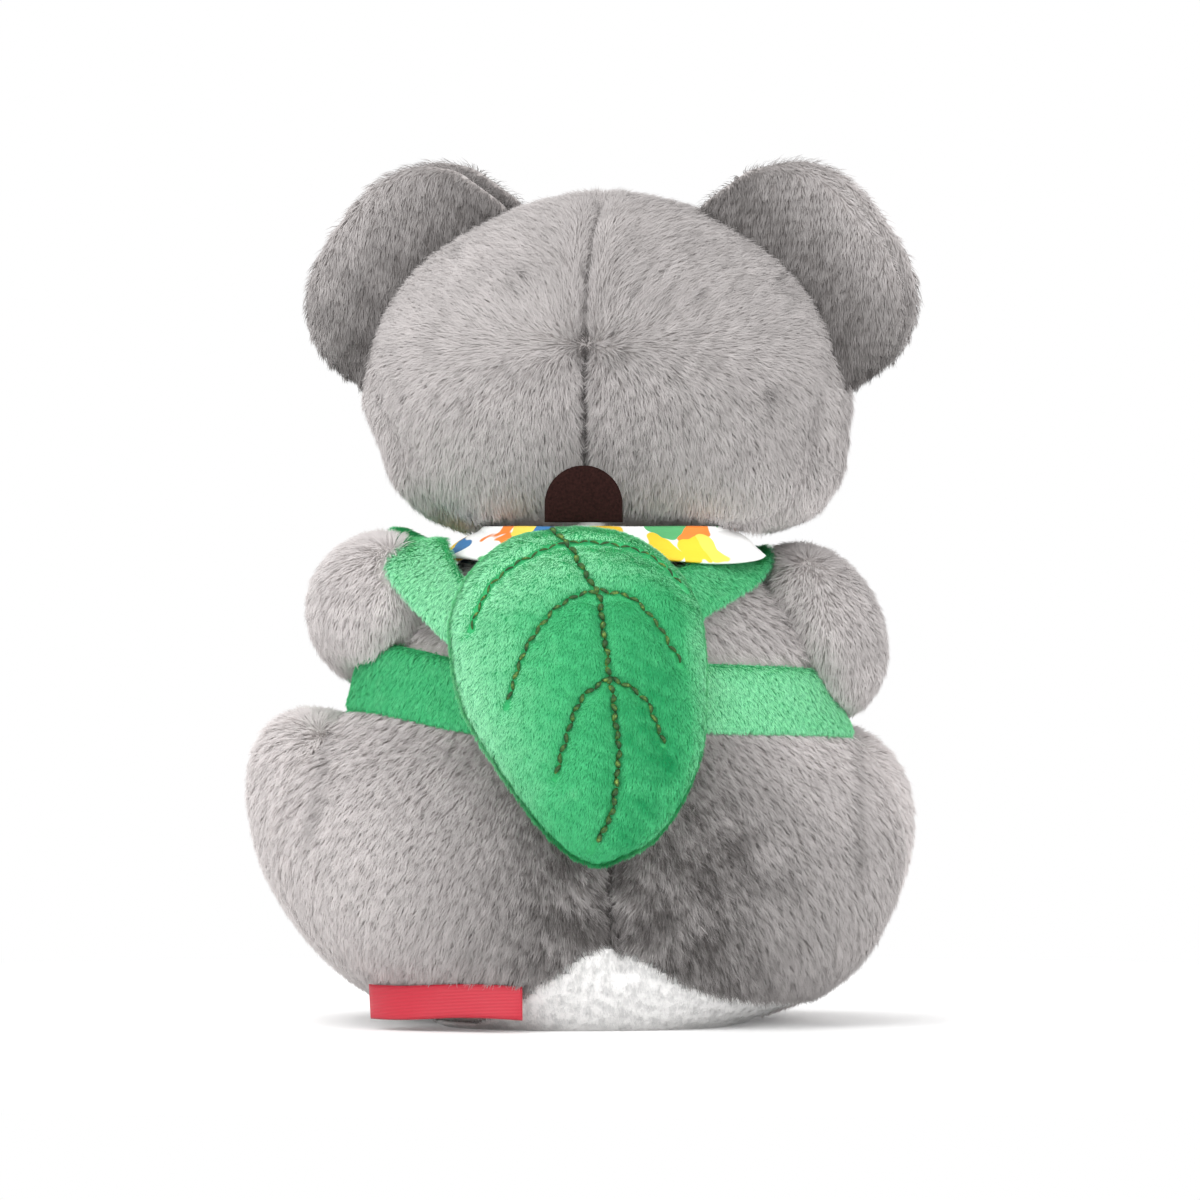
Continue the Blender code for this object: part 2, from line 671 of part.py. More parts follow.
def muzzle():
    middle = (0.0, face_y(0.0) - MUZZLE_STAND_OUT + MUZZLE_DEPTH / 2, MUZZLE_LEVEL)
    radii = (MUZZLE_WIDTH / 2, MUZZLE_DEPTH / 2, MUZZLE_HEIGHT / 2)
    snout = turned(ball("muzzle", middle, radii, WHITE_PLUSH))
    cut(snout, head_form("head_under_muzzle", SEAM_GAP))
    cut(snout, nose_form("nose_seat", SEAM_GAP))


def nose_form(name, grow=0.0, material=None):
    middle = (0.0, face_y(0.0) - MUZZLE_STAND_OUT - NOSE_STAND_OUT + NOSE_DEPTH / 2, NOSE_LEVEL)
    radii = [size / 2 + grow for size in (NOSE_WIDTH, NOSE_DEPTH, NOSE_HEIGHT)]
    return turned(ball(name, middle, radii, material))


def nose():
    cut(nose_form("nose", material=BLACK_PLUSH), head_form("head_under_nose", SEAM_GAP))


def ear_frame(side):
    """The ear's frame: x along its root line, y from front to back, z outwards from the head."""
    sign = SIDES[side]
    lean = Matrix.Rotation(sign * EAR_LEAN, 4, "Y")
    return Matrix.Translation((sign * EAR_SPREAD, EAR_BEHIND - HEAD_FORWARD, EAR_LEVEL)) @ lean


def ear_axis(side):
    """The ear's root line: a point on it and its direction, in the head's frame."""
    frame = ear_frame(side)
    return frame.translation, (frame.to_3x3() @ Vector((1.0, 0.0, 0.0))).normalized()


def ear_form(name, side, toward_back, swell=0.0, material=None):
    """One puffed layer of an ear, flat where the two layers are sewn together."""
    rings = []
    depth = EAR_REACH + EAR_SINK
    seam = Vector((0.0, toward_back * SEAM_GAP / 2, 0.0))
    for reach, length, thickness in EAR_SECTION_SHARES:
        middle = Vector((0.0, 0.0, depth * reach - EAR_SINK + swell * reach)) + seam
        wide = Vector((EAR_LENGTH / 2 * length + swell, 0.0, 0.0))
        deep = Vector((0.0, toward_back * (EAR_THICKNESS / 2 * thickness + swell), 0.0))
        rings.append(oval(middle, wide, deep, EAR_SIDES, flat_side=True))
    made = loft(name, rings, material)
    made.matrix_world = head_frame() @ ear_frame(side)
    return made


def clear_of_head(thing, side, gap):
    """Cuts the ear back so that it folds about its root line without meeting the head.

    The guides almost coincide along the root line, where only the MANIFOLD solver keeps the ear whole.
    """
    point, direction = ear_axis(side)
    for i, (angle, gap_share) in enumerate(EAR_FOLD_GUIDES):
        guide = head_form(f"head_for_{thing.name}_{i}", gap * gap_share)
        swing = Matrix.Translation(point) @ Matrix.Rotation(angle, 4, direction) @ Matrix.Translation(-point)
        guide.matrix_world = head_frame() @ swing
        cut(thing, guide, solver="MANIFOLD")
    return thing


def in_ear(thing, side):
    thing.matrix_world = head_frame() @ ear_frame(side)
    return thing


def ear(side):
    for layer, toward_back in (("back", 1), ("front", -1)):
        half = ear_form(f"ear_{side}_{layer}", side, toward_back, material=GREY_PLUSH)
        clear_of_head(half, side, SEAM_GAP)
    lining = ear_form(f"ear_{side}_lining", side, -1, SEAM_GAP + EAR_LINING_THICKNESS, WHITE_PLUSH)
    middle = (0.0, -EAR_THICKNESS, EAR_REACH / 2 + EAR_LINING_REACH / 3)
    radii = (EAR_LINING_LENGTH / 2, EAR_THICKNESS * EAR_LINING_DEPTH_SHARE, EAR_LINING_REACH)
    keep_inside(lining, in_ear(ball(f"lining_cut_{side}", middle, radii), side))
    cut(lining, ear_form(f"ear_under_lining_{side}", side, -1, SEAM_GAP))


# Limbs


def arm_form(name, side, material=None):
    """The arm from its root in the shoulder, forward and in to the paw."""
    rings = []
    start_point, sign = shoulder(side), SIDES[side]
    for reach, close, drop, radius in ARM_SECTION_SHARES:
        shift = Vector((-sign * ARM_CLOSE * close, -ARM_REACH * reach, -ARM_DROP * drop))
        wide = Vector((ARM_RADIUS * radius, 0.0, 0.0))
        tall = Vector((0.0, 0.0, ARM_RADIUS * radius))
        rings.append(oval(start_point + shift, wide, tall, LIMB_SIDES))
    return loft(name, rings, material)


def arm(side):
    """The arm, cleared of the torso; its cuts lie too close to the shoulder's ball for the EXACT solver."""
    limb = arm_form(f"arm_{side}", side, GREY_PLUSH)
    clear = torso_form(f"torso_for_arm_{side}", ARM_CLEAR)
    cut(clear, ball(f"arm_root_room_{side}", shoulder(side), [ARM_RADIUS] * 3), solver="MANIFOLD")
    cut(limb, clear, solver="MANIFOLD")
    return limb


def leg_form(name, side, material=None):
    rings = []
    start_point, sign = hip(side), SIDES[side]
    for reach, splay, drop, width, height in LEG_SECTION_SHARES:
        shift = Vector((sign * LEG_SPLAY * splay, -LEG_REACH * reach, -LEG_DROP * drop))
        wide = Vector((LEG_ROOT_RADIUS * width, 0.0, 0.0))
        tall = Vector((0.0, 0.0, leg_height(side) / 2 * height))
        rings.append(oval(start_point + shift, wide, tall, LIMB_SIDES))
    return loft(name, rings, material)


def sole_y():
    return -HIP_FORWARD - LEG_REACH


def leg(side):
    """The leg: a barrel in the seat, and the calf and foot that reach forward from it."""
    limb = leg_form(f"leg_{side}", side, GREY_PLUSH)
    clear = torso_form(f"torso_for_leg_{side}", TURN_GAP)
    cut(limb, clear)
    join(limb, leg_root(f"leg_barrel_{side}", side))
    reach = TORSO_WIDTH + OVERRUN
    cut(limb, below_floor(f"floor_under_leg_{side}"))
    front = sole_y()
    cut(limb, box(f"sole_flat_{side}", (-reach, front - OVERRUN, -reach), (reach, front, reach)))
    middle = Vector((hip(side).x + SIDES[side] * LEG_SPLAY, 0.0, hip(side).z - LEG_DROP))
    half = (SOLE_WIDTH / 2, SOLE_HEIGHT / 2)
    oval = [(middle.x + half[0] * cos(t), middle.z + half[1] * sin(t)) for t in angles_round(ROUND_SEGMENTS)]
    level = front - SEAM_GAP - SOLE_THICKNESS / 2
    stand = Matrix.Translation((0.0, level, 0.0)) @ Matrix.Rotation(pi / 2, 4, "X")
    plate(f"sole_pad_{side}", oval, SOLE_THICKNESS, stand, WHITE_PLUSH)


# Leaf backpack


def leaf_frame():
    """The leaf's frame: x across, y up the leaf from its tip, z outwards from the koala's back."""
    middle = LEAF_HEIGHT / 2
    level = LEAF_TIP_LEVEL + middle * cos(LEAF_TILT)
    back = torso_back_at(level) + LEAF_BACK_GAP + LEAF_BACKING + SEAM_GAP
    stand = Matrix.Rotation(LEAF_TILT, 4, "X") @ Matrix.Rotation(LEAF_ROLL, 4, "Y")
    stand = stand @ Matrix(((-1, 0, 0, 0), (0, 0, 1, 0), (0, 1, 0, 0), (0, 0, 0, 1)))
    return Matrix.Translation((LEAF_SHIFT, back, level)) @ stand @ Matrix.Translation((0.0, -middle, 0.0))


def torso_back_at(level):
    """Y of the torso's back at a height."""
    share = level / TORSO_HEIGHT
    levels = TORSO_LEVEL_SHARES
    for (low, _, low_depth), (high, _, high_depth) in zip(levels, levels[1:]):
        if share <= high:
            mix = (share - low) / (high - low)
            return TORSO_DEPTH / 2 * (low_depth + (high_depth - low_depth) * mix)
    return TORSO_DEPTH / 2 * levels[-1][2]


def leaf_outline(grow=0.0):
    """The outline from the tip up the right side and down the left, drawn out by grow."""
    half, tall = LEAF_WIDTH / 2 + grow, LEAF_HEIGHT / 2 + grow
    middle = LEAF_HEIGHT / 2
    right = [(half * width, middle + tall * (2 * share - 1)) for share, width in LEAF_OUTLINE_SHARES]
    return right + [(-x, y) for x, y in reversed(right)]


def leaf_front():
    """The stuffed front of the leaf: a pillow over the outline, cut away where the back pushes into it."""
    frame = leaf_frame()
    shape = bmesh.new()
    middle = Vector((0.0, LEAF_HEIGHT / 2))
    loops = []
    for outline, puff in LEAF_PUFF_SHARES:
        loop = []
        for point in leaf_outline():
            x, y = middle + (Vector(point) - middle) * outline * LEAF_SWELL_SHARE
            loop.append(shape.verts.new(frame @ Vector((x, y, LEAF_PUFF * puff))))
        loops.append(loop)
    count = len(loops[0])
    for lower, upper in zip(loops, loops[1:]):
        for i in range(count):
            j = (i + 1) % count
            shape.faces.new((lower[i], lower[j], upper[j], upper[i]))
    for loop, puff in ((loops[0], 0.0), (loops[-1], 1.0)):
        pole = shape.verts.new(frame @ Vector((middle.x, middle.y, LEAF_PUFF * puff)))
        for i in range(count):
            shape.faces.new((loop[i], loop[(i + 1) % count], pole))
    pillow = from_bmesh(shape, "leaf_front", GREEN_PLUSH)
    rounder = pillow.modifiers.new("rounder", "SUBSURF")
    rounder.levels = rounder.render_levels = 1
    cut(pillow, torso_form("torso_under_leaf", TURN_GAP))


def leaf_back():
    """The flat backing that closes the leaf."""
    stand = leaf_frame() @ Matrix.Translation((0.0, 0.0, -SEAM_GAP - LEAF_BACKING / 2))
    backing = plate("leaf_back", leaf_outline(-SEAM_GAP), LEAF_BACKING, stand, GREEN_PLUSH)
    cut(backing, torso_form("torso_under_backing", TURN_GAP))


def leaf_stem():
    """The felt tab that stands up from the top seam of the leaf."""
    half = STEM_WIDTH / 2
    angles = [pi * i / STEM_SEGMENTS for i in range(STEM_SEGMENTS + 1)]
    arch = [(half * cos(a), half * sin(a)) for a in angles]
    outline = [(-half, half - STEM_HEIGHT), (half, half - STEM_HEIGHT)] + arch
    foot = leaf_frame() @ Vector((0.0, LEAF_HEIGHT, -LEAF_BACKING / 2))
    centre = foot + Vector((0.0, 0.0, STEM_HEIGHT - half))
    stand = Matrix.Translation(centre) @ Matrix.Rotation(pi / 2, 4, "X")
    plate("leaf_stem", outline, STEM_THICKNESS, stand, BROWN_FELT)


def strap_form(name, side, grow=0.0, material=None):
    """A flat loop on the torso's skin: over the shoulder, down in front, and back under the arm."""
    sign = SIDES[side]
    reach = TORSO_DEPTH / 2 + OVERRUN
    half = STRAP_WIDTH / 2 + grow
    level = STRAP_LOWER_LEVEL[side]
    inner = STRAP_FRONT_SPREAD - half
    outer = TORSO_WIDTH / 2 + OVERRUN
    lean = -TORSO_LEAN

    def slab(part, x_ends, y_ends, z_ends, tilt):
        x_low, x_high = sorted(sign * x + lean for x in x_ends)
        turn = Matrix.Rotation(tilt * sign, 4, "Y")
        return box(f"{name}_{part}", (x_low, y_ends[0], z_ends[0]), (x_high, y_ends[1], z_ends[1]), turn)

    band = slab("behind", (0.0, outer), (0.0, reach), (level - half, level + half), -STRAP_LOWER_TILT[side])
    elbow = [
        (inner, level - half),
        (outer, level - half),
        (outer, level + half),
        (inner + 2 * half, level + half),
        (inner + 2 * half, TORSO_HEIGHT),
        (inner, TORSO_HEIGHT),
    ]
    elbow = [(sign * x + lean, z) for x, z in elbow]
    stand = Matrix.Translation((0.0, (OVERRUN / 2 - reach) / 2, 0.0)) @ Matrix.Rotation(pi / 2, 4, "X")
    front = plate(f"{name}_in_front", elbow, reach + OVERRUN / 2, stand)
    ends = (STRAP_UPPER_SPREAD - OVERRUN, STRAP_UPPER_SPREAD + OVERRUN)
    over_z = (STRAP_UPPER_LEVEL - half, STRAP_UPPER_LEVEL + half)
    over = slab("over", ends, (-half, reach + half), over_z, STRAP_UPPER_TILT[side])
    route = join(band, front, over, solver="MANIFOLD")
    skin = torso_form(name, SEAM_GAP + STRAP_THICKNESS + grow, material)
    return keep_inside(skin, route, solver="MANIFOLD")


def strap(side):
    loop = strap_form(f"strap_{side}", side, material=GREEN_PLUSH)
    cut(loop, torso_form(f"torso_under_strap_{side}", SEAM_GAP), solver="MANIFOLD")
    leaf_hold = Matrix.Translation((0.0, 0.0, LEAF_PUFF / 2 - OVERRUN))
    depth = LEAF_PUFF + 2 * OVERRUN
    leaf = plate(f"leaf_for_strap_{side}", leaf_outline(2 * TURN_GAP), depth, leaf_frame() @ leaf_hold)
    arm_root = ball(f"arm_for_strap_{side}", shoulder(side), [ARM_RADIUS + STRAP_ARM_GAP] * 3)
    cut(loop, leaf, arm_root, solver="MANIFOLD")


def bandana():
    """A band round the neck with a pointed bib in front, both lying on the torso."""
    reach = TORSO_DEPTH / 2 + OVERRUN
    upright = Matrix.Rotation(pi / 2, 4, "X")
    low = BANDANA_BIB_TOP
    region = round_bar(
        "bandana_band",
        (NECK_POINT.x, 0.0, low),
        (NECK_POINT.x, 0.0, TORSO_HEIGHT + OVERRUN),
        BANDANA_RADIUS,
    )
    half = BANDANA_BIB_WIDTH / 2
    lean = -TORSO_LEAN
    overlap = (TORSO_HEIGHT - BANDANA_BIB_TOP) / 2
    bib = [
        (lean - half, low + overlap),
        (lean - half, low - overlap),
        (lean, BANDANA_BIB_POINT),
        (lean + half, low - overlap),
        (lean + half, low + overlap),
    ]
    join(region, plate("bandana_bib", bib, reach, Matrix.Translation((0.0, -reach / 2, 0.0)) @ upright))
    cloth = torso_form("bandana", SEAM_GAP + BANDANA_THICKNESS, PRINTED_COTTON)
    keep_inside(cloth, region, solver="MANIFOLD")
    cutters = [torso_form("torso_under_bandana", SEAM_GAP)]
    cutters.append(box("above_torso", (-reach, -reach, TORSO_HEIGHT), (reach, reach, TORSO_HEIGHT + OVERRUN)))
    cutters.append(ball("neck_for_bandana", NECK_POINT, [NECK_RADIUS + BANDANA_NECK_GAP] * 3))
    cutters += [strap_form(f"strap_for_bandana_{side}", side, SEAM_GAP) for side in SIDES]
    stand = leaf_frame() @ Matrix.Translation((0.0, 0.0, LEAF_PUFF / 2))
    cutters.append(plate("leaf_for_bandana", leaf_outline(TURN_GAP), LEAF_PUFF + OVERRUN, stand))
    cut(cloth, *cutters, solver="MANIFOLD")


def label():
    """The folded ribbon that stands out of the seam behind the seat, on the koala's left."""
    ribbon = torso_form("label", SEAM_GAP + LABEL_THICKNESS, RED_RIBBON)
    low = (LABEL_INNER_END, LEG_BLOCK_BACK, LABEL_LEVEL)
    high = (LABEL_INNER_END + LABEL_LENGTH, TORSO_DEPTH, LABEL_LEVEL + LABEL_HEIGHT)
    keep_inside(ribbon, box("label_cut", low, high), solver="MANIFOLD")
    cutters = (torso_form("torso_under_label", SEAM_GAP), leg_root("leg_for_label", "left", LABEL_LEG_GAP))
    cut(ribbon, *cutters, solver="MANIFOLD")


# Pivots of the pieces that move


def pivot(name, place_at, parent=None):
    """An empty on a joint's axis."""
    empty = bpy.data.objects.new(name, None)
    PARTS.objects.link(empty)
    empty.location = place_at
    if parent:
        hang(parent, empty)
    return empty


def hang(parent, *things):
    """Parents things to a pivot and leaves them where they are."""
    bpy.context.view_layer.update()
    for thing in things:
        thing.parent = parent
        thing.matrix_parent_inverse = parent.matrix_world.inverted()


def add_pivots():
    parts = PARTS.objects
    turn = pivot("head_turn", NECK_POINT)
    hang(turn, parts["neck_stuffing"])
    nod = pivot("head_nod", NECK_POINT, turn)
    hang(nod, *[parts[name] for name in ("head", "muzzle", "nose")])
    for side in SIDES:
        hang(nod, parts[f"eye_{side}"], parts[f"eye_washer_{side}"])
        fold = pivot(f"ear_{side}_fold", head_frame() @ ear_frame(side).translation, nod)
        hang(fold, *[parts[f"ear_{side}_{layer}"] for layer in ("back", "front", "lining")])
        hang(pivot(f"arm_{side}_spread", shoulder(side)), parts[f"arm_{side}"])
        hang(pivot(f"leg_{side}_splay", hip(side)), parts[f"leg_{side}"], parts[f"sole_pad_{side}"])
    lift = pivot("leaf_lift", leaf_frame() @ Vector((0.0, LEAF_HEIGHT * LEAF_HINGE_SHARE, 0.0)))
    hang(lift, *[parts[name] for name in ("leaf_front", "leaf_back", "leaf_stem")])


def main():
    torso()
    belly_panel()
    squeaker()
    neck_stuffing()
    head()
    muzzle()
    nose()
    for side in SIDES:
        eye(side)
        ear(side)
        arm(side)
        leg(side)
        strap(side)
    leaf_front()
    leaf_back()
    leaf_stem()
    bandana()
    label()
    add_pivots()


main()
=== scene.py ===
# %% [markdown]
# # A plush koala with a leaf on its back
#
# A stuffed toy is a handful of sewn skins, filled until they are round, with fur on the
# outside. This lesson dresses a packed mechanical model of such a toy. The model says where
# each piece is and how it moves, and here each piece gets the form, pile and colour that it
# has in the hand. We look at the toy from behind, because its green leaf sits there.

from math import cos, pi, radians, sin

import bpy
import numpy as np
from mathutils import Matrix, Vector
from mathutils.bvhtree import BVHTree


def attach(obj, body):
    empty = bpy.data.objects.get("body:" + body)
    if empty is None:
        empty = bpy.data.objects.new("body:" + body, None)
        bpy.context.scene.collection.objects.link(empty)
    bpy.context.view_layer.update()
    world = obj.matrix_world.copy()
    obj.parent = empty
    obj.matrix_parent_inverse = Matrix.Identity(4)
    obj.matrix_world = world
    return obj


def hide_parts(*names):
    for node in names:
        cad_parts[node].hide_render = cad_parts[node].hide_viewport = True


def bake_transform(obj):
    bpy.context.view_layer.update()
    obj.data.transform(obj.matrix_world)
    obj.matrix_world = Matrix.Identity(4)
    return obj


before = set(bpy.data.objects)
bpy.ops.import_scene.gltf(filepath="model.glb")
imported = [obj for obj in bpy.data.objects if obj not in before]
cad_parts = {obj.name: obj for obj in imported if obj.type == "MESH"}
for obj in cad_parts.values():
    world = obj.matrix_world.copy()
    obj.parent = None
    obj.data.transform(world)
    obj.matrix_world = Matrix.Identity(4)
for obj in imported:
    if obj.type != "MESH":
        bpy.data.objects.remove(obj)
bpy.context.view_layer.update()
SIDES = {"left": 1, "right": -1}

# %% [markdown]
# ## Smooth curves through a few sections
#
# A toy maker draws a body as a few cross sections. We keep each form as such a short table of
# shares of its size, and read it on a smooth curve that never overshoots. Widths are read
# squared, because the square of a dome's radius falls in a straight line to zero at its top,
# so the ends come out round instead of pointed.


# %% Read a table smoothly
def through(table, at):
    """Every column after the first of a table, read at places along its first column."""
    table = np.array(table, float)
    place, value = table[:, 0], table[:, 1:]
    step = np.diff(place)[:, None]
    slope = np.diff(value, axis=0) / step
    agree = slope[1:] * slope[:-1] > 0
    both = np.where(agree, slope[1:] + slope[:-1], 1.0)
    inner = np.where(agree, 2 * slope[1:] * slope[:-1] / both, 0.0)
    tangent = np.vstack([slope[:1], inner, slope[-1:]])
    at = np.clip(at, place[0], place[-1])
    i = np.clip(np.searchsorted(place, at, side="right") - 1, 0, len(place) - 2)
    t = ((at - place[i]) / step[i, 0])[:, None]
    from_start = (1 + 2 * t) * (1 - t) ** 2 * value[i] + t * (1 - t) ** 2 * step[i] * tangent[i]
    to_end = t**2 * (3 - 2 * t) * value[i + 1] - t**2 * (1 - t) * step[i] * tangent[i + 1]
    return from_start + to_end


def round_sizes(table, at):
    """Like through, for radii: they are read squared."""
    table = np.array(table, float)
    table[:, 1:] **= 2
    return np.sqrt(np.maximum(through(table, at), 0.0))


def eased(low, high, count):
    """Places from low to high that lie closer together near both ends."""
    return low + (high - low) * (1 - np.cos(np.linspace(0, pi, count))) / 2


def unit(vectors):
    return vectors / np.maximum(np.linalg.norm(vectors, axis=-1, keepdims=True), 1e-12)


def spaced(line, count_of, closed=False):
    """Points spaced evenly along a line, as many as a rule says from its length."""
    steps = np.linalg.norm(np.diff(line, axis=0), axis=1)
    length = np.concatenate([[0], np.cumsum(steps)])
    even = np.linspace(0, length[-1], count_of(length[-1]), endpoint=not closed)
    return np.stack([np.interp(even, length, line[:, k]) for k in range(line.shape[1])], 1)


# %% [markdown]
# ## From sections to a closed skin
#
# Lofting joins ring to ring, and a pole closes each end. We do the sums with numpy on whole
# arrays, because a skin here has thousands of points and a Python loop over them is slow. The
# same call gives the mesh its material; stuffed() then lets it ride on its body and hides the
# CAD part that it stands for.


# %% Loft rings into a skin
def rings_of(middles, wides, deeps, around):
    """A grid of points: one ring about each middle, from a wide half axis to a deep one."""
    angle = np.linspace(0, 2 * pi, around, endpoint=False)[None, :, None]
    return middles[:, None] + np.cos(angle) * wides[:, None] + np.sin(angle) * deeps[:, None]


def oval_rings(middles, wide, deep, around):
    """Level rings, with their wide half axis along x and their deep one along y."""
    zero = np.zeros_like(wide)
    return rings_of(middles, np.stack([wide, zero, zero], 1), np.stack([zero, deep, zero], 1), around)


def grid_faces(rings, around):
    """Quads of a grid whose rings close on themselves."""
    i, j = np.meshgrid(np.arange(rings - 1), np.arange(around), indexing="ij")
    i, j = i.ravel(), j.ravel()
    k = (j + 1) % around
    return np.stack([i * around + j, i * around + k, (i + 1) * around + k, (i + 1) * around + j], 1)


def outward_faces(points, faces):
    """The faces of a closed mesh, turned over if they look inwards."""
    away = points - points.mean(0)
    volume = sum(np.dot(away[f[0]], np.cross(away[f[1]], away[f[2]])) for f in faces)
    return faces if volume > 0 else [f[::-1] for f in faces]


def in_scene(name, data):
    """A new object in the scene that shows a mesh, a lamp or a camera."""
    made = bpy.data.objects.new(name, data)
    bpy.context.scene.collection.objects.link(made)
    return made


def make_object(name, points, faces, material):
    mesh = bpy.data.meshes.new(name)
    mesh.from_pydata(np.asarray(points).tolist(), [], [list(map(int, f)) for f in faces])
    mesh.shade_smooth()
    mesh.materials.append(material)
    return in_scene(name, mesh)


def skin(name, grid, material):
    """A closed mesh from a grid of rings, with a point at each end."""
    rings, around = grid.shape[:2]
    points = np.vstack([grid.reshape(-1, 3), grid[0].mean(0), grid[-1].mean(0)])
    start, end = rings * around, rings * around + 1
    faces = grid_faces(rings, around).tolist()
    last = (rings - 1) * around
    for j in range(around):
        k = (j + 1) % around
        faces.append([k, j, start])
        faces.append([last + j, last + k, end])
    return make_object(name, points, outward_faces(points, faces), material)


def finish_piece(piece, body, slot, *nodes):
    """Lets a piece ride on its body and stand for its CAD nodes, which it hides; the slot is not used."""
    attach(piece, body)
    if nodes:
        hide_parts(*nodes)
    return piece


def stuffed(piece, body, slot, cad_node):
    """Finishes a filled piece that stands for one CAD node."""
    finish_piece(piece, body, slot, cad_node)
    return piece


# %% [markdown]
# ## Materials
#
# Plush is not one colour. A hand that strokes it leaves lighter and darker patches, and our
# strands vary so at random; by place their tone also carries painted light and shade, and most
# are painted darker at the root, as painted shade deep in the pile. Every strand of our fur
# carries two numbers in its UV map: u says how light this strand is and v runs from root to tip.
# The material turns both into colour, so it needs no image. Light also passes through fibres,
# and a share of translucence keeps the shaded side of the fur soft.


# %% Material helpers
FUR_MAP = "OFBake"


def new_material(name, roughness):
    made = bpy.data.materials.new(name)
    made.use_nodes = True
    shader = made.node_tree.nodes["Principled BSDF"]
    shader.inputs["Roughness"].default_value = roughness
    return made, made.node_tree, shader


def fill_socket(tree, socket, value):
    """Puts a constant, or another node's output, on a socket."""
    if isinstance(value, bpy.types.NodeSocket):
        tree.links.new(value, socket)
    else:
        socket.default_value = value


def node(tree, kind, inputs=(), **settings):
    """A new shader node with its settings and what its sockets hold."""
    made = tree.nodes.new("ShaderNode" + kind)
    for setting, value in settings.items():
        setattr(made, setting, value)
    for socket, value in dict(inputs).items():
        fill_socket(tree, made.inputs[socket], value)
    return made


def mixed(tree, share, first, second):
    """One shader where share is 0 and another where it is 1."""
    return node(tree, "MixShader", {"Fac": share, 1: first, 2: second}).outputs["Shader"]


def ramp(tree, value, stops, interpolation="LINEAR"):
    """The colour of a value between (place, colour) stops."""
    made = node(tree, "ValToRGB", {"Fac": value})
    made.color_ramp.interpolation = interpolation
    elements = made.color_ramp.elements
    while len(elements) < len(stops):
        elements.new(0.5)
    for element, (place, colour) in zip(elements, stops):
        element.position = place
        element.color = (*colour, 1.0)
    return made.outputs["Color"]


def noise(tree, scale, detail=3.0, roughness=0.55):
    place = node(tree, "TexCoord").outputs["Object"]
    grain = {"Scale": scale, "Detail": detail, "Roughness": roughness, "Vector": place}
    return node(tree, "TexNoise", grain)


def add_bump(tree, shader, height, distance, strength=0.6):
    made = node(tree, "Bump", {"Distance": distance, "Strength": strength, "Height": height})
    fill_socket(tree, shader.inputs["Normal"], made.outputs["Normal"])


def grained(name, roughness, stops, bump, scale=None, detail=3.0, grain_roughness=0.55, texture=None):
    """A material whose colour and surface follow one texture: a noise, unless another is given."""
    made, tree, shader = new_material(name, roughness)
    height = (texture(tree) if texture else noise(tree, scale, detail, grain_roughness)).outputs["Fac"]
    fill_socket(tree, shader.inputs["Base Color"], ramp(tree, height, stops))
    if bump:
        add_bump(tree, shader, height, bump)
    return made


# %% The pile of plush
def pile_material(name, roots, tips, through_share=0.3, root_length=0.55):
    """Colour by strand tone along u, and from a root darkened with painted shade to the tip along v."""
    made, tree, shader = new_material(name, 0.85)
    place = node(tree, "UVMap", uv_map=FUR_MAP)
    parts = node(tree, "SeparateXYZ", {"Vector": place.outputs["UV"]})
    tone = parts.outputs["X"]
    root, tip = (ramp(tree, tone, list(zip(np.linspace(0, 1, len(row)), row))) for row in (roots, tips))
    run = {"From Max": root_length, "Value": parts.outputs["Y"]}
    share = node(tree, "MapRange", run, interpolation_type="SMOOTHSTEP").outputs["Result"]
    mix = node(tree, "Mix", {"Factor": share, "A": root, "B": tip}, data_type="RGBA")
    colour = mix.outputs["Result"]
    fill_socket(tree, shader.inputs["Base Color"], colour)
    shader.inputs["Specular IOR Level"].default_value = 0.25
    passing = node(tree, "BsdfTranslucent", {"Color": colour}).outputs["BSDF"]
    both = mixed(tree, through_share, shader.outputs["BSDF"], passing)
    fill_socket(tree, tree.nodes["Material Output"].inputs["Surface"], both)
    return made


def cloth_material(name, dark, light, scale, roughness=0.9, bump=0.0003):
    """Cloth whose colour and surface wander a little, as knitted backing and felt do."""
    return grained(name, roughness, [(0.3, dark), (0.7, light)], bump, scale)


# In most tones the roots are painted darker than the tips: painted shade deep in the pile.
grey_pile = pile_material(
    "grey_pile",
    ((0.24, 0.222, 0.216), (0.46, 0.43, 0.42), (0.66, 0.62, 0.61)),
    ((0.15, 0.139, 0.135), (0.95, 0.905, 0.895)),
)
white_pile = pile_material(
    "white_pile",
    ((0.67, 0.67, 0.665), (0.74, 0.74, 0.735)),
    ((0.71, 0.71, 0.705), (0.80, 0.80, 0.795)),
)
green_pile = pile_material(
    "green_pile",
    ((0.018, 0.34, 0.12), (0.115, 0.59, 0.29)),
    ((0.016, 0.40, 0.135), (0.10, 0.66, 0.28), (0.44, 0.98, 0.62)),
    through_share=0.2,
    root_length=0.8,
)
black_pile = pile_material(
    "black_pile",
    ((0.006, 0.005, 0.005), (0.008, 0.007, 0.007)),
    ((0.012, 0.010, 0.010), (0.045, 0.04, 0.04)),
    through_share=0.1,
)
KNIT_SCALE = 900
grey_backing = cloth_material("grey_backing", (0.42, 0.39, 0.38), (0.52, 0.485, 0.475), KNIT_SCALE)
white_backing = cloth_material("white_backing", (0.80, 0.79, 0.78), (0.88, 0.87, 0.86), KNIT_SCALE)
green_backing = cloth_material("green_backing", (0.025, 0.36, 0.12), (0.04, 0.44, 0.15), KNIT_SCALE)
black_backing = cloth_material("black_backing", (0.006, 0.005, 0.005), (0.02, 0.018, 0.018), KNIT_SCALE)
print("materials", len(bpy.data.materials))

# %% [markdown]
# ## The body
#
# The body is a pear on a flat seat. Fur stands a few millimetres off its cloth, so the skin is
# drawn in by that much and the tips of the fur reach the toy's real size. Seams pull the cloth
# inwards: we move points towards the inside wherever they are near a seam line.

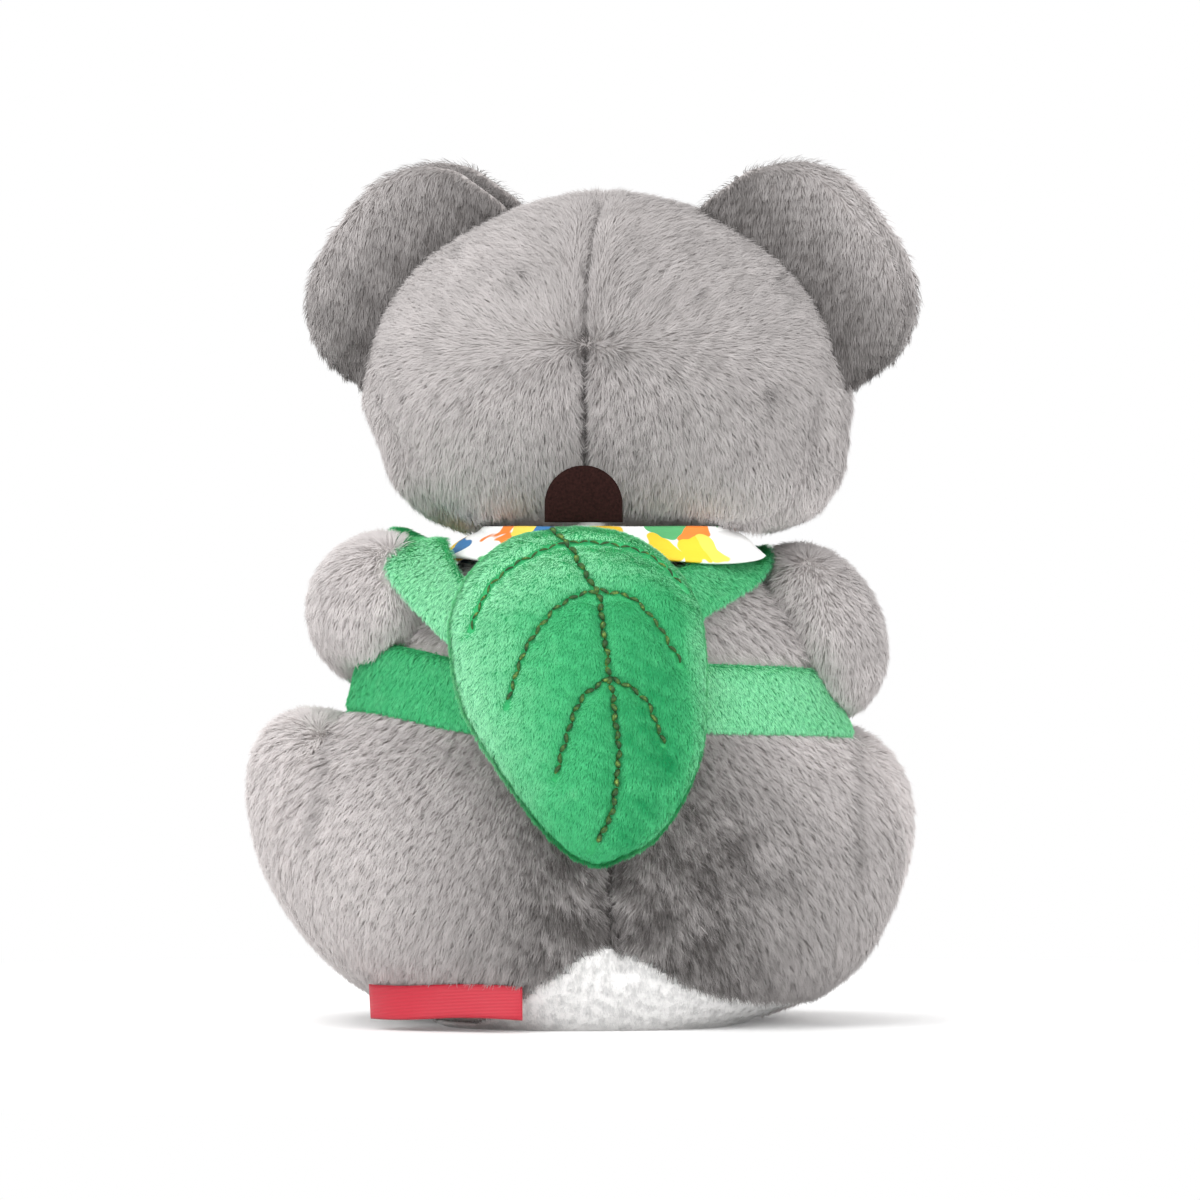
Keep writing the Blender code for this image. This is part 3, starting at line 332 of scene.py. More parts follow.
# %% Body sizes
TORSO_HEIGHT, TORSO_WIDTH, TORSO_DEPTH = 0.123, 0.166, 0.104
TORSO_LEAN = 0.0045  # how far the neck stands to the koala's right of the seat
FUR_RISE = 0.0032  # from the skin to the tips, measured straight out
TORSO_SHARES = (  # height, width and depth
    (0.0, 0.47, 0.66), (0.033, 0.575, 0.76), (0.075, 0.71, 0.85), (0.115, 0.785, 0.905),
    (0.155, 0.845, 0.945), (0.195, 0.892, 0.965), (0.28, 0.955, 0.995), (0.36, 0.979, 1.0),
    (0.455, 0.957, 0.983), (0.53, 0.907, 0.95), (0.585, 0.835, 0.92), (0.66, 0.775, 0.875),
    (0.72, 0.755, 0.85), (0.82, 0.68, 0.765), (0.92, 0.52, 0.65), (1.0, 0.33, 0.50),
)
TORSO_MIDDLES = (  # height in metres, and how far to the koala's right the middle lies there
    (0.0, 0.0012), (0.009, 0.0037), (0.014, 0.0047), (0.019, 0.0040), (0.024, 0.0030), (0.034, 0.0018),
    (0.044, 0.0012), (0.065, 0.0010), (0.074, 0.0020), (0.085, 0.0028), (0.123, 0.0045),
)
AROUND, ALONG = 120, 90
CAPS = np.array([0.25, 0.5, 0.75])  # sizes of the rings that close a flat end


def torso_middle_x(height):
    height = np.asarray(height, float)
    return -through(TORSO_MIDDLES, height.ravel())[:, 0].reshape(height.shape)


def dent(distance, width):
    """How deep a stitched line pulls the cloth, from 1 on the line to 0 away from it."""
    return np.exp(-((distance / width) ** 2))


def within(value, low, high, soft):
    """1 between low and high, falling to 0 over a soft stretch outside them."""
    rise = np.clip((value - low) / soft + 1, 0, 1)
    fall = np.clip((high - value) / soft + 1, 0, 1)
    return rise * fall


def capped(height, wide, deep, rise=0.0):
    """Sections with smaller ones set before the first, each raised as told."""
    height = np.concatenate([np.full(len(CAPS), height[0]) + rise, height])
    wide, deep = (np.concatenate([half[0] * CAPS, np.maximum(half, 0.001)]) for half in (wide, deep))
    return height, wide, deep


# %% Body skin
SEAM_DEPTH, SEAM_WIDTH, SEAM_REACH = 0.0026, 0.0030, (0.016, 0.12, 0.004)
CLEFT_DEPTH, CLEFT_WIDTH, CLEFT_REACH = 0.002, 0.014, (0.012, 0.05, 0.02)
WAIST_LEVEL, WAIST_PULL, WAIST_TALL = 0.084, 0.0022, 0.009


def torso_grid():
    at = eased(0.0, 1.0, ALONG)
    sizes = round_sizes(TORSO_SHARES, at)
    height = FUR_RISE * 0.3 + at * (TORSO_HEIGHT - FUR_RISE * 1.3)
    wide = TORSO_WIDTH / 2 * sizes[:, 0] - FUR_RISE
    deep = TORSO_DEPTH / 2 * sizes[:, 1] - FUR_RISE
    height, wide, deep = capped(height, wide, deep)
    middles = np.stack([torso_middle_x(height), 0 * height, height], 1)
    grid = oval_rings(middles, wide, deep, AROUND)
    from_middle, level = grid[..., :2] - middles[:, None, :2], grid[..., 2]
    across = from_middle[..., 0]
    behind = np.clip(grid[..., 1] / (TORSO_DEPTH / 4), 0, 1)
    seam = SEAM_DEPTH * dent(across, SEAM_WIDTH) * within(level, *SEAM_REACH) * behind
    cleft = CLEFT_DEPTH * dent(across, CLEFT_WIDTH) * within(level, *CLEFT_REACH) * behind
    waist = WAIST_PULL * dent(level - WAIST_LEVEL, WAIST_TALL)
    inward = -unit(np.concatenate([from_middle, 0 * level[..., None]], 2))
    return grid + inward * (seam + cleft + waist)[..., None]


torso_skin = stuffed(skin("torso_skin", torso_grid(), grey_backing), "body", "grey_plush", "torso")
print("torso", [round(v, 4) for v in torso_skin.dimensions])

# %% [markdown]
# ## The head
#
# The head is a wide, flattened ball that looks a little to one side, so it has its own frame.
# One seam runs down its back, gathered into a small star where the dart ends, and one runs
# down each side between the back panel and the cheeks.

# %% Head frame and sizes
NECK = Vector((-TORSO_LEAN, 0.0, 0.0))
HEAD_TURN = radians(-15)
HEAD_BOTTOM, HEAD_HEIGHT = 0.1235, 0.0868
HEAD_WIDTH, HEAD_DEPTH, HEAD_FORWARD = 0.124, 0.088, 0.009
HEAD_SHARES = (
    (0.0, 0.64, 0.64), (0.055, 0.79, 0.80), (0.20, 0.935, 0.935), (0.39, 1.0, 1.0),
    (0.57, 0.965, 0.985), (0.74, 0.84, 0.88), (0.89, 0.58, 0.64), (1.0, 0.10, 0.12),
)
head_frame = Matrix.Translation(NECK) @ Matrix.Rotation(HEAD_TURN, 4, "Z")


def placed(points, matrix):
    """An array of points carried by a matrix."""
    matrix = np.array(matrix)
    return points @ matrix[:3, :3].T + matrix[:3, 3]


def in_frame(points, matrix):
    """World points read in the frame of a matrix."""
    return placed(points, matrix.inverted())


# %% Head skin
STAR_LEVEL = 0.1690  # of the tuck where the dart in the back of the head ends
STAR_DEPTH, STAR_WIDTH, STAR_RAYS = 0.0032, 0.0060, 7
SIDE_SEAM_Y = 0.0055  # of the seams between back panel and cheeks, in the head's frame
SIDE_SEAM_DEPTH, SIDE_SEAM_WIDTH, SIDE_SEAM_REACH = 0.0024, 0.0024, (0.10, 0.158, 0.006)
HEAD_SEAM_DEPTH, HEAD_SEAM_WIDTH = 0.0030, 0.0028
PUCKER_DEPTH, PUCKER_REACH, PUCKER_WIDTH = 0.0007, 0.008, 0.006
CHEEK_RISE, CHEEK_Y, CHEEK_LEVEL = 0.0022, -0.008, 0.150
HOLLOW_DEPTH = 0.0075  # of the underside, which is drawn in over the neck
JOWL = 0.0068  # how much fuller the right cheek is, low down
SLIM_CHEEK = 0.0024  # how much the left cheek is drawn in


def head_grid():
    at = eased(0.0, 1.0, ALONG)
    sizes = round_sizes(HEAD_SHARES, at)
    height = HEAD_BOTTOM + FUR_RISE * 0.6 + at * (HEAD_HEIGHT - FUR_RISE * 1.6)
    wide = HEAD_WIDTH / 2 * sizes[:, 0] - FUR_RISE
    deep = HEAD_DEPTH / 2 * sizes[:, 1] - FUR_RISE
    height, wide, deep = capped(height, wide, deep, HOLLOW_DEPTH * (1 - CAPS**2) * 0.6)
    grid = oval_rings(np.stack([0 * height, 0 * height - HEAD_FORWARD, height], 1), wide, deep, AROUND)
    x, y, z = grid[..., 0], grid[..., 1], grid[..., 2]
    behind = np.clip((y + HEAD_FORWARD) / 0.012, 0, 1)
    seam = HEAD_SEAM_DEPTH * dent(x, HEAD_SEAM_WIDTH) * behind
    from_star, turn = np.hypot(x, z - STAR_LEVEL), np.arctan2(z - STAR_LEVEL, x)
    star = STAR_DEPTH * dent(from_star, STAR_WIDTH) * behind
    pucker = PUCKER_DEPTH * np.cos(STAR_RAYS * turn) * dent(from_star - PUCKER_REACH, PUCKER_WIDTH) * behind
    aside = abs(x) > 0.03
    side = SIDE_SEAM_DEPTH * dent(y - SIDE_SEAM_Y, SIDE_SEAM_WIDTH) * within(z, *SIDE_SEAM_REACH) * aside
    cheek = -CHEEK_RISE * dent(y - CHEEK_Y, 0.010) * dent(z - CHEEK_LEVEL, 0.016) * aside
    jowl = JOWL * np.clip((0.150 - z) / 0.020, 0, 1) * np.clip((-x - 0.015) / 0.025, 0, 1)
    slim = SLIM_CHEEK * dent(z - 0.147, 0.009) * np.clip((x - 0.03) / 0.02, 0, 1)
    shift = np.stack([-jowl - slim, 0 * jowl, 0 * jowl], 2)
    centre = np.array([0.0, -HEAD_FORWARD, HEAD_BOTTOM + HEAD_HEIGHT * 0.45])
    inward = -unit(grid - centre)
    return placed(grid + shift + inward * (seam + star + pucker + side + cheek)[..., None], head_frame)


head_skin = stuffed(skin("head_skin", head_grid(), grey_backing), "head", "grey_plush", "head")
print("head", [round(v, 4) for v in head_skin.dimensions])

# %% [markdown]
# ## The ears
#
# Each ear is two puffed cushions sewn back to back, so a deep crease runs round its rim. We
# loft each cushion outwards from the line where it joins the head, in a frame whose x runs
# along that line. The cushions reach a little way into the head, so that no gap opens when an
# ear folds.

# %% Ear cushions
EAR_LENGTH, EAR_REACH, EAR_THICKNESS = 0.062, 0.0360, 0.0165
EAR_SPREAD, EAR_LEVEL, EAR_LEAN, EAR_SINK = 0.041, 0.1815, radians(54), 0.007
EAR_BEHIND, EAR_LAYER_SHIFT = 0.001, 0.0035
EAR_FUR_RISE, EAR_RIM_RISE = 0.0024, 0.0014
EAR_SHARES = (
    (0.0, 0.90, 0.80), (0.26, 1.0, 0.98), (0.52, 1.0, 1.0), (0.76, 0.87, 0.92), (0.92, 0.60, 0.66),
    (1.0, 0.0, 0.0),
)


def ear_frame(side):
    sign = SIDES[side]
    stand = Matrix.Translation((sign * EAR_SPREAD, EAR_BEHIND - HEAD_FORWARD, EAR_LEVEL))
    return head_frame @ stand @ Matrix.Rotation(sign * EAR_LEAN, 4, "Y")


def ear_grid(side, toward_back, around=72, along=44):
    at = eased(0.0, 1.0, along)
    sizes = round_sizes(EAR_SHARES, at)
    reach = -EAR_SINK + at * (EAR_REACH + EAR_SINK - EAR_FUR_RISE - EAR_RIM_RISE)
    half = EAR_LENGTH / 2 * sizes[:, 0] - EAR_FUR_RISE * sizes[:, 0]
    puff = (EAR_THICKNESS / 4 + 0.0004) * sizes[:, 1] - EAR_FUR_RISE / 2
    puff = np.maximum(puff, 0.0006 * np.sqrt(1.001 - at))
    middles = np.stack([0 * at, 0 * at + toward_back * EAR_LAYER_SHIFT, reach], 1)
    return oval_rings(middles, half, puff, around)


EAR_FRONT_SHIFT = 0.0030  # the front cushion sits this much to the koala's right
ear_front_move = head_frame.to_3x3() @ Vector((-EAR_FRONT_SHIFT, 0, 0.001))
ear_skins = {}
for side in SIDES:
    for layer, toward_back in (("back", 1), ("front", -1)):
        grid = placed(ear_grid(side, toward_back), ear_frame(side))
        if layer == "front":
            grid = grid + np.array(ear_front_move)
        name = f"ear_{side}_{layer}"
        piece = skin(f"{name}_skin", grid, grey_backing)
        ear_skins[side, layer] = stuffed(piece, f"ear_{side}", "grey_plush", name)
print("ears", len(ear_skins))

# %% [markdown]
# ## Arms and legs
#
# A limb is one tapering tube, closed at the paw. Its sections are read along the limb, with a
# drop and a sideways close that bend it forward round the belly. The legs lie on the table, so
# whatever would reach under it is pressed flat.

# %% Limb sections
SHOULDER_SPREAD, SHOULDER_LEVEL = 0.054, 0.1055
ARM_RADIUS, ARM_REACH, ARM_DROP, ARM_CLOSE = 0.019, 0.060, 0.009, 0.013
ARM_SHARES = (  # place along the arm, and its close, drop and radius there
    (-0.36, 0.0, 0.0, 0.0), (-0.30, 0.0, 0.0, 0.46), (-0.20, 0.0, 0.0, 0.84), (0.0, 0.0, 0.0, 1.0),
    (0.28, 0.0, 0.14, 1.02), (0.56, 0.16, 0.48, 0.98), (0.82, 0.68, 0.88, 0.83), (0.97, 1.0, 1.0, 0.46),
    (1.03, 1.0, 1.0, 0.0),
)
LIMB_FUR_RISE = 0.0026
# how far each arm hangs, how tall its section is, and how much its lower side leans out
ARM_FORMS = {"left": (0.0, 1.0, 0.0), "right": (0.0072, 1.25, 0.24)}


def shoulder(side):
    return np.array([SIDES[side] * SHOULDER_SPREAD - TORSO_LEAN, 0.0, SHOULDER_LEVEL])


def arm_grid(side, around=72, along=64):
    table = np.array(ARM_SHARES)
    at = eased(table[0, 0], table[-1, 0], along)
    route = through(table[:, :3], at)
    radius = ARM_RADIUS * round_sizes(table[:, [0, 3]], at)[:, 0]
    radius = np.maximum(radius - LIMB_FUR_RISE * np.minimum(1, radius / ARM_RADIUS), 0.0)
    sign = SIDES[side]
    drop, taller, lean = ARM_FORMS[side]
    shift = np.stack([-sign * ARM_CLOSE * route[:, 0], -ARM_REACH * at, -ARM_DROP * route[:, 1] - drop], 1)
    zero = np.zeros_like(at)
    middles = shoulder(side) + shift
    upright = np.stack([-sign * lean * radius, zero, radius * taller], 1)
    return rings_of(middles, np.stack([radius, zero, zero], 1), upright, around)


# %% Arms
arm_skins, leg_skins = {}, {}
for side in SIDES:
    name = f"arm_{side}"
    piece = skin(f"{name}_skin", arm_grid(side), grey_backing)
    arm_skins[side] = stuffed(piece, name, "grey_plush", name)

# %% Legs
HIP_SPREAD, HIP_FORWARD = 0.0525, 0.014
LEG_TOP = {"left": 0.0805, "right": 0.0765}
LEG_RADIUS = {"left": 0.0280, "right": 0.0330}
LEG_LEAN = {"left": 0.40, "right": 0.30}  # how far the top of the thigh stands out, by its height
LEG_REACH, LEG_SPLAY, LEG_DROP = 0.068, -0.008, 0.003
LEG_SHARES = (  # place along the leg, and its splay, drop, width and height there
    (-0.40, 0.0, 0.0, 0.0, 0.0), (-0.34, 0.0, 0.0, 0.46, 0.55), (-0.22, 0.0, 0.0, 0.78, 0.86),
    (0.0, 0.0, 0.0, 0.99, 0.99), (0.28, 0.22, 0.14, 1.0, 0.97), (0.60, 0.62, 0.58, 0.89, 0.82),
    (0.86, 1.0, 1.0, 0.78, 0.70), (0.97, 1.0, 1.0, 0.66, 0.58), (1.0, 1.0, 1.0, 0.0, 0.0),
)
FLOOR_LIFT = 0.0008
LEG_TUCK = {"left": 0.0058, "right": -0.0012}  # how far the underside of a thigh is drawn in
TUCK_LEVEL = 0.040


def hip(side):
    return np.array([SIDES[side] * HIP_SPREAD, -HIP_FORWARD, LEG_TOP[side] / 2])


def leg_grid(side, around=80, along=70):
    table = np.array(LEG_SHARES)
    at = eased(table[0, 0], table[-1, 0], along)
    route = through(table[:, :3], at)
    sizes = round_sizes(table[:, [0, 3, 4]], at)
    fur = LIMB_FUR_RISE * np.minimum(1, sizes.min(1))
    wide = np.maximum(LEG_RADIUS[side] * sizes[:, 0] - fur, 0.0)
    tall = np.maximum(LEG_TOP[side] / 2 * sizes[:, 1] - fur, 0.0)
    sign = SIDES[side]
    shift = np.stack([sign * LEG_SPLAY * route[:, 0], -LEG_REACH * at, -LEG_DROP * route[:, 1]], 1)
    zero = np.zeros_like(at)
    lean = sign * LEG_LEAN[side] * tall * np.clip(1 - at, 0, 1)
    wides, talls = np.stack([wide, zero, zero], 1), np.stack([lean, zero, tall], 1)
    grid = rings_of(hip(side) + shift, wides, talls, around)
    grid[..., 0] -= sign * LEG_TUCK[side] * np.clip(1 - grid[..., 2] / TUCK_LEVEL, 0, 1) ** 1.3
    grid[..., 2] = np.maximum(grid[..., 2], FLOOR_LIFT)
    return grid


for side in SIDES:
    name = f"leg_{side}"
    piece = skin(f"{name}_skin", leg_grid(side), grey_backing)
    leg_skins[side] = stuffed(piece, name, "grey_plush", name)
print("limbs", [round(v, 4) for v in leg_skins["left"].dimensions])

# %% [markdown]
# ## The leaf
#
# The leaf is a small stuffed cushion in the shape of a eucalyptus leaf. Its outline is a table
# of half widths from the tip up. Rings of that outline, drawn in and lifted step by step, make
# the crown. The cloth is pinned along its seam and filled by a pressure, so a short cloth
# simulation gives the crown its real, slightly slack curve.

# %% Leaf frame and outline
LEAF_WIDTH, LEAF_HEIGHT, LEAF_PUFF = 0.0650, 0.0860, 0.0170
LEAF_TIP_LEVEL, LEAF_SHIFT = 0.0405, 0.0062
LEAF_TILT, LEAF_ROLL = radians(8), radians(4)
LEAF_BACKING = 0.0020
LEAF_PILE_RISE = 0.0008
LEAF_OUTLINE_SHARES = (
    (0.0, 0.0), (0.012, 0.13), (0.055, 0.34), (0.16, 0.58), (0.28, 0.76), (0.395, 0.885), (0.50, 0.955),
    (0.60, 0.985), (0.70, 0.985), (0.79, 0.93), (0.88, 0.78), (0.93, 0.64), (0.97, 0.46), (1.0, 0.0),
)
LEAF_BEND = (
    (0.0, 0.0006), (0.06, 0.0032), (0.16, 0.0036), (0.28, 0.0033), (0.40, 0.0017), (0.50, 0.0004),
    (1.0, -0.0006),
)
LEAF_STAND_Y = 0.04865  # of the leaf's seam plane behind the spine, at the leaf's middle


def leaf_frame():
    """x across, y up the leaf from its tip, z outwards from the koala's back."""
    middle = LEAF_HEIGHT / 2
    level = LEAF_TIP_LEVEL + middle * cos(LEAF_TILT)
    axes = Matrix(((-1, 0, 0, 0), (0, 0, 1, 0), (0, 1, 0, 0), (0, 0, 0, 1)))
    stand = Matrix.Rotation(LEAF_TILT, 4, "X") @ Matrix.Rotation(LEAF_ROLL, 4, "Y") @ axes
    base = Matrix.Translation((LEAF_SHIFT, LEAF_STAND_Y, level))
    return base @ stand @ Matrix.Translation((0, -middle, 0))


def leaf_half_width(share):
    return LEAF_WIDTH / 2 * round_sizes(LEAF_OUTLINE_SHARES, share)[:, 0]


def leaf_outline(count=128):
    """Evenly spaced points round the leaf, from the tip up its right side."""
    share = eased(0.0, 1.0, 400)
    bend = through(LEAF_BEND, share)[:, 0]
    right = np.stack([bend + leaf_half_width(share), LEAF_HEIGHT * share], 1)
    left = np.stack([bend - leaf_half_width(share), LEAF_HEIGHT * share], 1)
    whole = np.vstack([right, left[-2:0:-1]])
    whole = np.vstack([whole, whole[:1]])
    return spaced(whole, lambda length: count, closed=True)


# %% Leaf cushion
LEAF_RINGS = 26


def leaf_front_mesh():
    """Rings of the outline from the seam to the middle of the crown, closed above and below."""
    outline, puff = leaf_outline(), LEAF_PUFF - LEAF_PILE_RISE
    middle = np.array([0.0, LEAF_HEIGHT * 0.52])
    inset = 1 - LEAF_PILE_RISE / (LEAF_WIDTH / 2)
    rings = []
    for s in np.linspace(0, 1, LEAF_RINGS)[:-1]:
        lift = puff * (1 - (1 - s) ** 2.3) ** 0.55
        flat = middle + (outline - middle) * (inset * (1 - s))
        rings.append(np.column_stack([flat, np.full(len(flat), lift)]))
    grid = np.array(rings)
    rings, around = grid.shape[:2]
    points = np.vstack([grid.reshape(-1, 3), grid[-1].mean(0), grid[0].mean(0)])
    faces = grid_faces(rings, around).tolist()
    last = (rings - 1) * around
    for j in range(around):
        k = (j + 1) % around
        faces.append([last + j, last + k, rings * around])
        faces.append([k, j, rings * around + 1])
    return points, faces


leaf_points, leaf_faces = leaf_front_mesh()


# %% Fill the cushion
CLOTH_FRAMES, CLOTH_PRESSURE, CLOTH_MOST = 20, 4.0, 0.0016


def filled(points, faces, held):
    """The points after the cloth, held along its seam, is filled and settles; each may move a little."""
    piece = make_object("cushion_cloth", points, faces, bpy.data.materials[0])
    group = piece.vertex_groups.new(name="seam")
    group.add([int(i) for i in np.flatnonzero(held)], 1.0, "ADD")
    cloth = piece.modifiers.new("filling", "CLOTH")
    cloth.settings.vertex_group_mass = "seam"
    cloth.settings.use_pressure = True
    cloth.settings.uniform_pressure_force = CLOTH_PRESSURE
    cloth.settings.effector_weights.gravity = 0.0
    cloth.settings.quality = 6
    cloth.point_cache.frame_start, cloth.point_cache.frame_end = 1, CLOTH_FRAMES
    for moment in range(1, CLOTH_FRAMES + 1):
        bpy.context.scene.frame_set(moment)
    settled = piece.evaluated_get(bpy.context.evaluated_depsgraph_get()).to_mesh()
    after = np.array([v.co for v in settled.vertices])
    bpy.context.scene.frame_set(1)
    bpy.data.objects.remove(piece)
    move = after - points
    far = np.linalg.norm(move, axis=1, keepdims=True)
    print("cloth moved", round(float(far.max()), 4), "mean", round(float(far.mean()), 5))
    return points + move * np.minimum(1, CLOTH_MOST / np.maximum(far, 1e-9))


LEAF_SEAM_LEVEL = 0.003  # what lies below it is sewn, and stays where it is
leaf_points = filled(leaf_points, leaf_faces, leaf_points[:, 2] < LEAF_SEAM_LEVEL)

# %% Veins on the leaf, in metres in its own frame
MIDRIB = (
    (-0.0047, 0.0843), (-0.0013, 0.0799), (0.0035, 0.0682), (0.0047, 0.0654), (0.0049, 0.0549),
    (0.0053, 0.0459), (0.0056, 0.0395), (0.0060, 0.0293), (0.0056, 0.0219), (0.0031, 0.0126),
    (-0.0015, 0.0042),
)
SIDE_VEINS = (
    ((-0.0013, 0.0799), (-0.0080, 0.0783), (-0.0189, 0.0727), (-0.0247, 0.0648), (-0.0266, 0.0600)),
    ((0.0045, 0.0668), (-0.0030, 0.0654), (-0.0118, 0.0578), (-0.0170, 0.0484), (-0.0200, 0.0402)),
    ((0.0055, 0.0456), (-0.0020, 0.0406), (-0.0055, 0.0336), (-0.0097, 0.0218)),
    ((-0.0008, 0.0800), (0.0101, 0.0790), (0.0200, 0.0750), (0.0256, 0.0688), (0.0278, 0.0664)),
    ((0.0051, 0.0674), (0.0136, 0.0642), (0.0190, 0.0570), (0.0219, 0.0515), (0.0240, 0.0475)),
    ((0.0057, 0.0453), (0.0123, 0.0411), (0.0153, 0.0357), (0.0177, 0.0284)),
)


def fine_line(points, step=0.0005):
    """Evenly spaced points on a smooth curve through a few given ones."""
    points = np.array(points, float)
    padded = np.vstack([2 * points[:1] - points[1:2], points, 2 * points[-1:] - points[-2:-1]])
    slope = (padded[2:] - padded[:-2]) / 2
    fine = []
    for i in range(len(points) - 1):
        t = np.linspace(0, 1, 24, endpoint=False)[:, None]
        a, b, m, n = points[i], points[i + 1], slope[i], slope[i + 1]
        start = (1 + 2 * t) * (1 - t) ** 2 * a + t * (1 - t) ** 2 * m
        fine.append(start + t**2 * (3 - 2 * t) * b - t**2 * (1 - t) * n)
    return spaced(np.vstack(fine + [points[-1:]]), lambda length: max(2, int(length / step)))


vein_lines = [fine_line(MIDRIB)] + [fine_line(v) for v in SIDE_VEINS]
VEIN_DEPTH, VEIN_WIDTH = 0.0020, 0.0021


def nearest_vein(flat):
    """Distance in the leaf's plane from each point to the nearest vein."""
    every = np.vstack(vein_lines)
    best = np.full(len(flat), np.inf)
    for start in range(0, len(every), 40):
        gap = np.linalg.norm(flat[:, None] - every[None, start : start + 40], axis=2).min(1)
        best = np.minimum(best, gap)
    return best


raised = leaf_points[:, 2] > LEAF_SEAM_LEVEL
leaf_points[:, 2] -= VEIN_DEPTH * dent(nearest_vein(leaf_points[:, :2]), VEIN_WIDTH) * raised
leaf_skin = make_object("leaf_cushion", placed(leaf_points, leaf_frame()), leaf_faces, green_backing)
stuffed(leaf_skin, "leaf", "green_plush", "leaf_front")
print("leaf", [round(v, 4) for v in leaf_skin.dimensions], "crown", round(leaf_points[:, 2].max(), 4))

# %% [markdown]
# ## Straps that lie on the body
#
# The leaf is worn like a backpack: each strap leaves the leaf's edge, runs round the side under
# the arm, turns up in front and comes back over the shoulder. A strap has no shape of its own,
# it rests on what is under it. So we give its route roughly, by angle and height, and then
# drop every point of it onto the nearest skin.


# %% Resting on a skin
def tree_of(*pieces):
    """One search tree over several pieces in their places."""
    points, faces = [], []
    for piece in pieces:
        start = len(points)
        points += [piece.matrix_world @ v.co for v in piece.data.vertices]
        faces += [[start + i for i in f.vertices] for f in piece.data.polygons]
    return BVHTree.FromPolygons(points, faces)


def rest_on(points, trees, lift):
    """Each point moved to lie `lift` above the skin that it is deepest in, with the way out there."""
    places, outward = [], []
    for point in points:
        best = None
        for tree in trees:
            near, normal, _, _ = tree.find_nearest(Vector(point))
            height = (Vector(point) - near).dot(normal)
            if best is None or height < best[0]:
                best = (height, near, normal)
        places.append(best[1] + best[2] * lift)
        outward.append(best[2])
    return np.array(places), unit(np.array(outward))


def torso_half_sizes(level):
    sizes = round_sizes(TORSO_SHARES, np.asarray(level) / TORSO_HEIGHT)
    return TORSO_WIDTH / 2 * sizes[:, 0], TORSO_DEPTH / 2 * sizes[:, 1]


def on_torso(angle, level):
    """A point on the toy's outer surface by angle from its left side, round towards its back."""
    wide, deep = torso_half_sizes(level)
    return np.stack([torso_middle_x(level) + wide * np.cos(angle), deep * np.sin(angle), level], 1)


def soften(values, times=6):
    """Evens out a row of points without moving its ends."""
    values = values.copy()
    for _ in range(times):
        values[1:-1] = (values[:-2] + 2 * values[1:-1] + values[2:]) / 4
    return values


# %% Straps
STRAP_WIDTH, STRAP_THICKNESS, STRAP_LIFT = 0.0168, 0.0016, 0.0026
STRAP_ROUTES = {  # from under the leaf, round under the arm, up in front and back over the shoulder
    "left": (
        (0.028, 0.048, 0.0850), (0.045, 0.038, 0.0865), (0.058, 0.018, 0.0890), (0.063, 0.0, 0.0890),
        (0.058, -0.022, 0.0875), (0.046, -0.038, 0.089), (0.040, -0.042, 0.096), (0.042, -0.034, 0.105),
        (0.043, -0.018, 0.113), (0.0425, -0.004, 0.1180), (0.0415, 0.008, 0.1190), (0.0400, 0.018, 0.1172),
        (0.038, 0.028, 0.1130), (0.034, 0.038, 0.1075), (0.028, 0.047, 0.1015),
    ),
    "right": (
        (-0.021, 0.048, 0.0845), (-0.037, 0.040, 0.0835), (-0.052, 0.025, 0.0815), (-0.064, 0.005, 0.0795),
        (-0.062, -0.015, 0.080), (-0.052, -0.034, 0.083), (-0.044, -0.041, 0.090), (-0.045, -0.038, 0.099),
        (-0.048, -0.026, 0.105), (-0.049, -0.010, 0.1105), (-0.0475, 0.008, 0.1120),
        (-0.0435, 0.021, 0.1110), (-0.0350, 0.034, 0.1100), (-0.024, 0.045, 0.1060),
    ),
}
STRAP_TOPS = {  # the inner and the outer edge of each strap's last run, from the shoulder to the leaf
    "left": (
        ((0.0365, 0.012, 0.1240), (0.0345, 0.036, 0.1130), (0.0270, 0.046, 0.1060)),
        ((0.0525, 0.016, 0.1150), (0.0455, 0.034, 0.1050), (0.0360, 0.045, 0.0945)),
    ),
    "right": (
        ((-0.0400, 0.014, 0.1175), (-0.0225, 0.036, 0.1150), (-0.0120, 0.044, 0.1120)),
        ((-0.0455, 0.018, 0.1130), (-0.0255, 0.043, 0.1032), (-0.0150, 0.047, 0.0960)),
    ),
}
STRAP_ACROSS = 11
LOWER_RUN = 0.42  # the share of a strap that lies on the body alone, under the arm
STRAP_LAIN = STRAP_LIFT * 0.8  # the lift of a strap's middle once its cloth lies down
STRAP_STEP = 0.0022  # between the rows of a strap


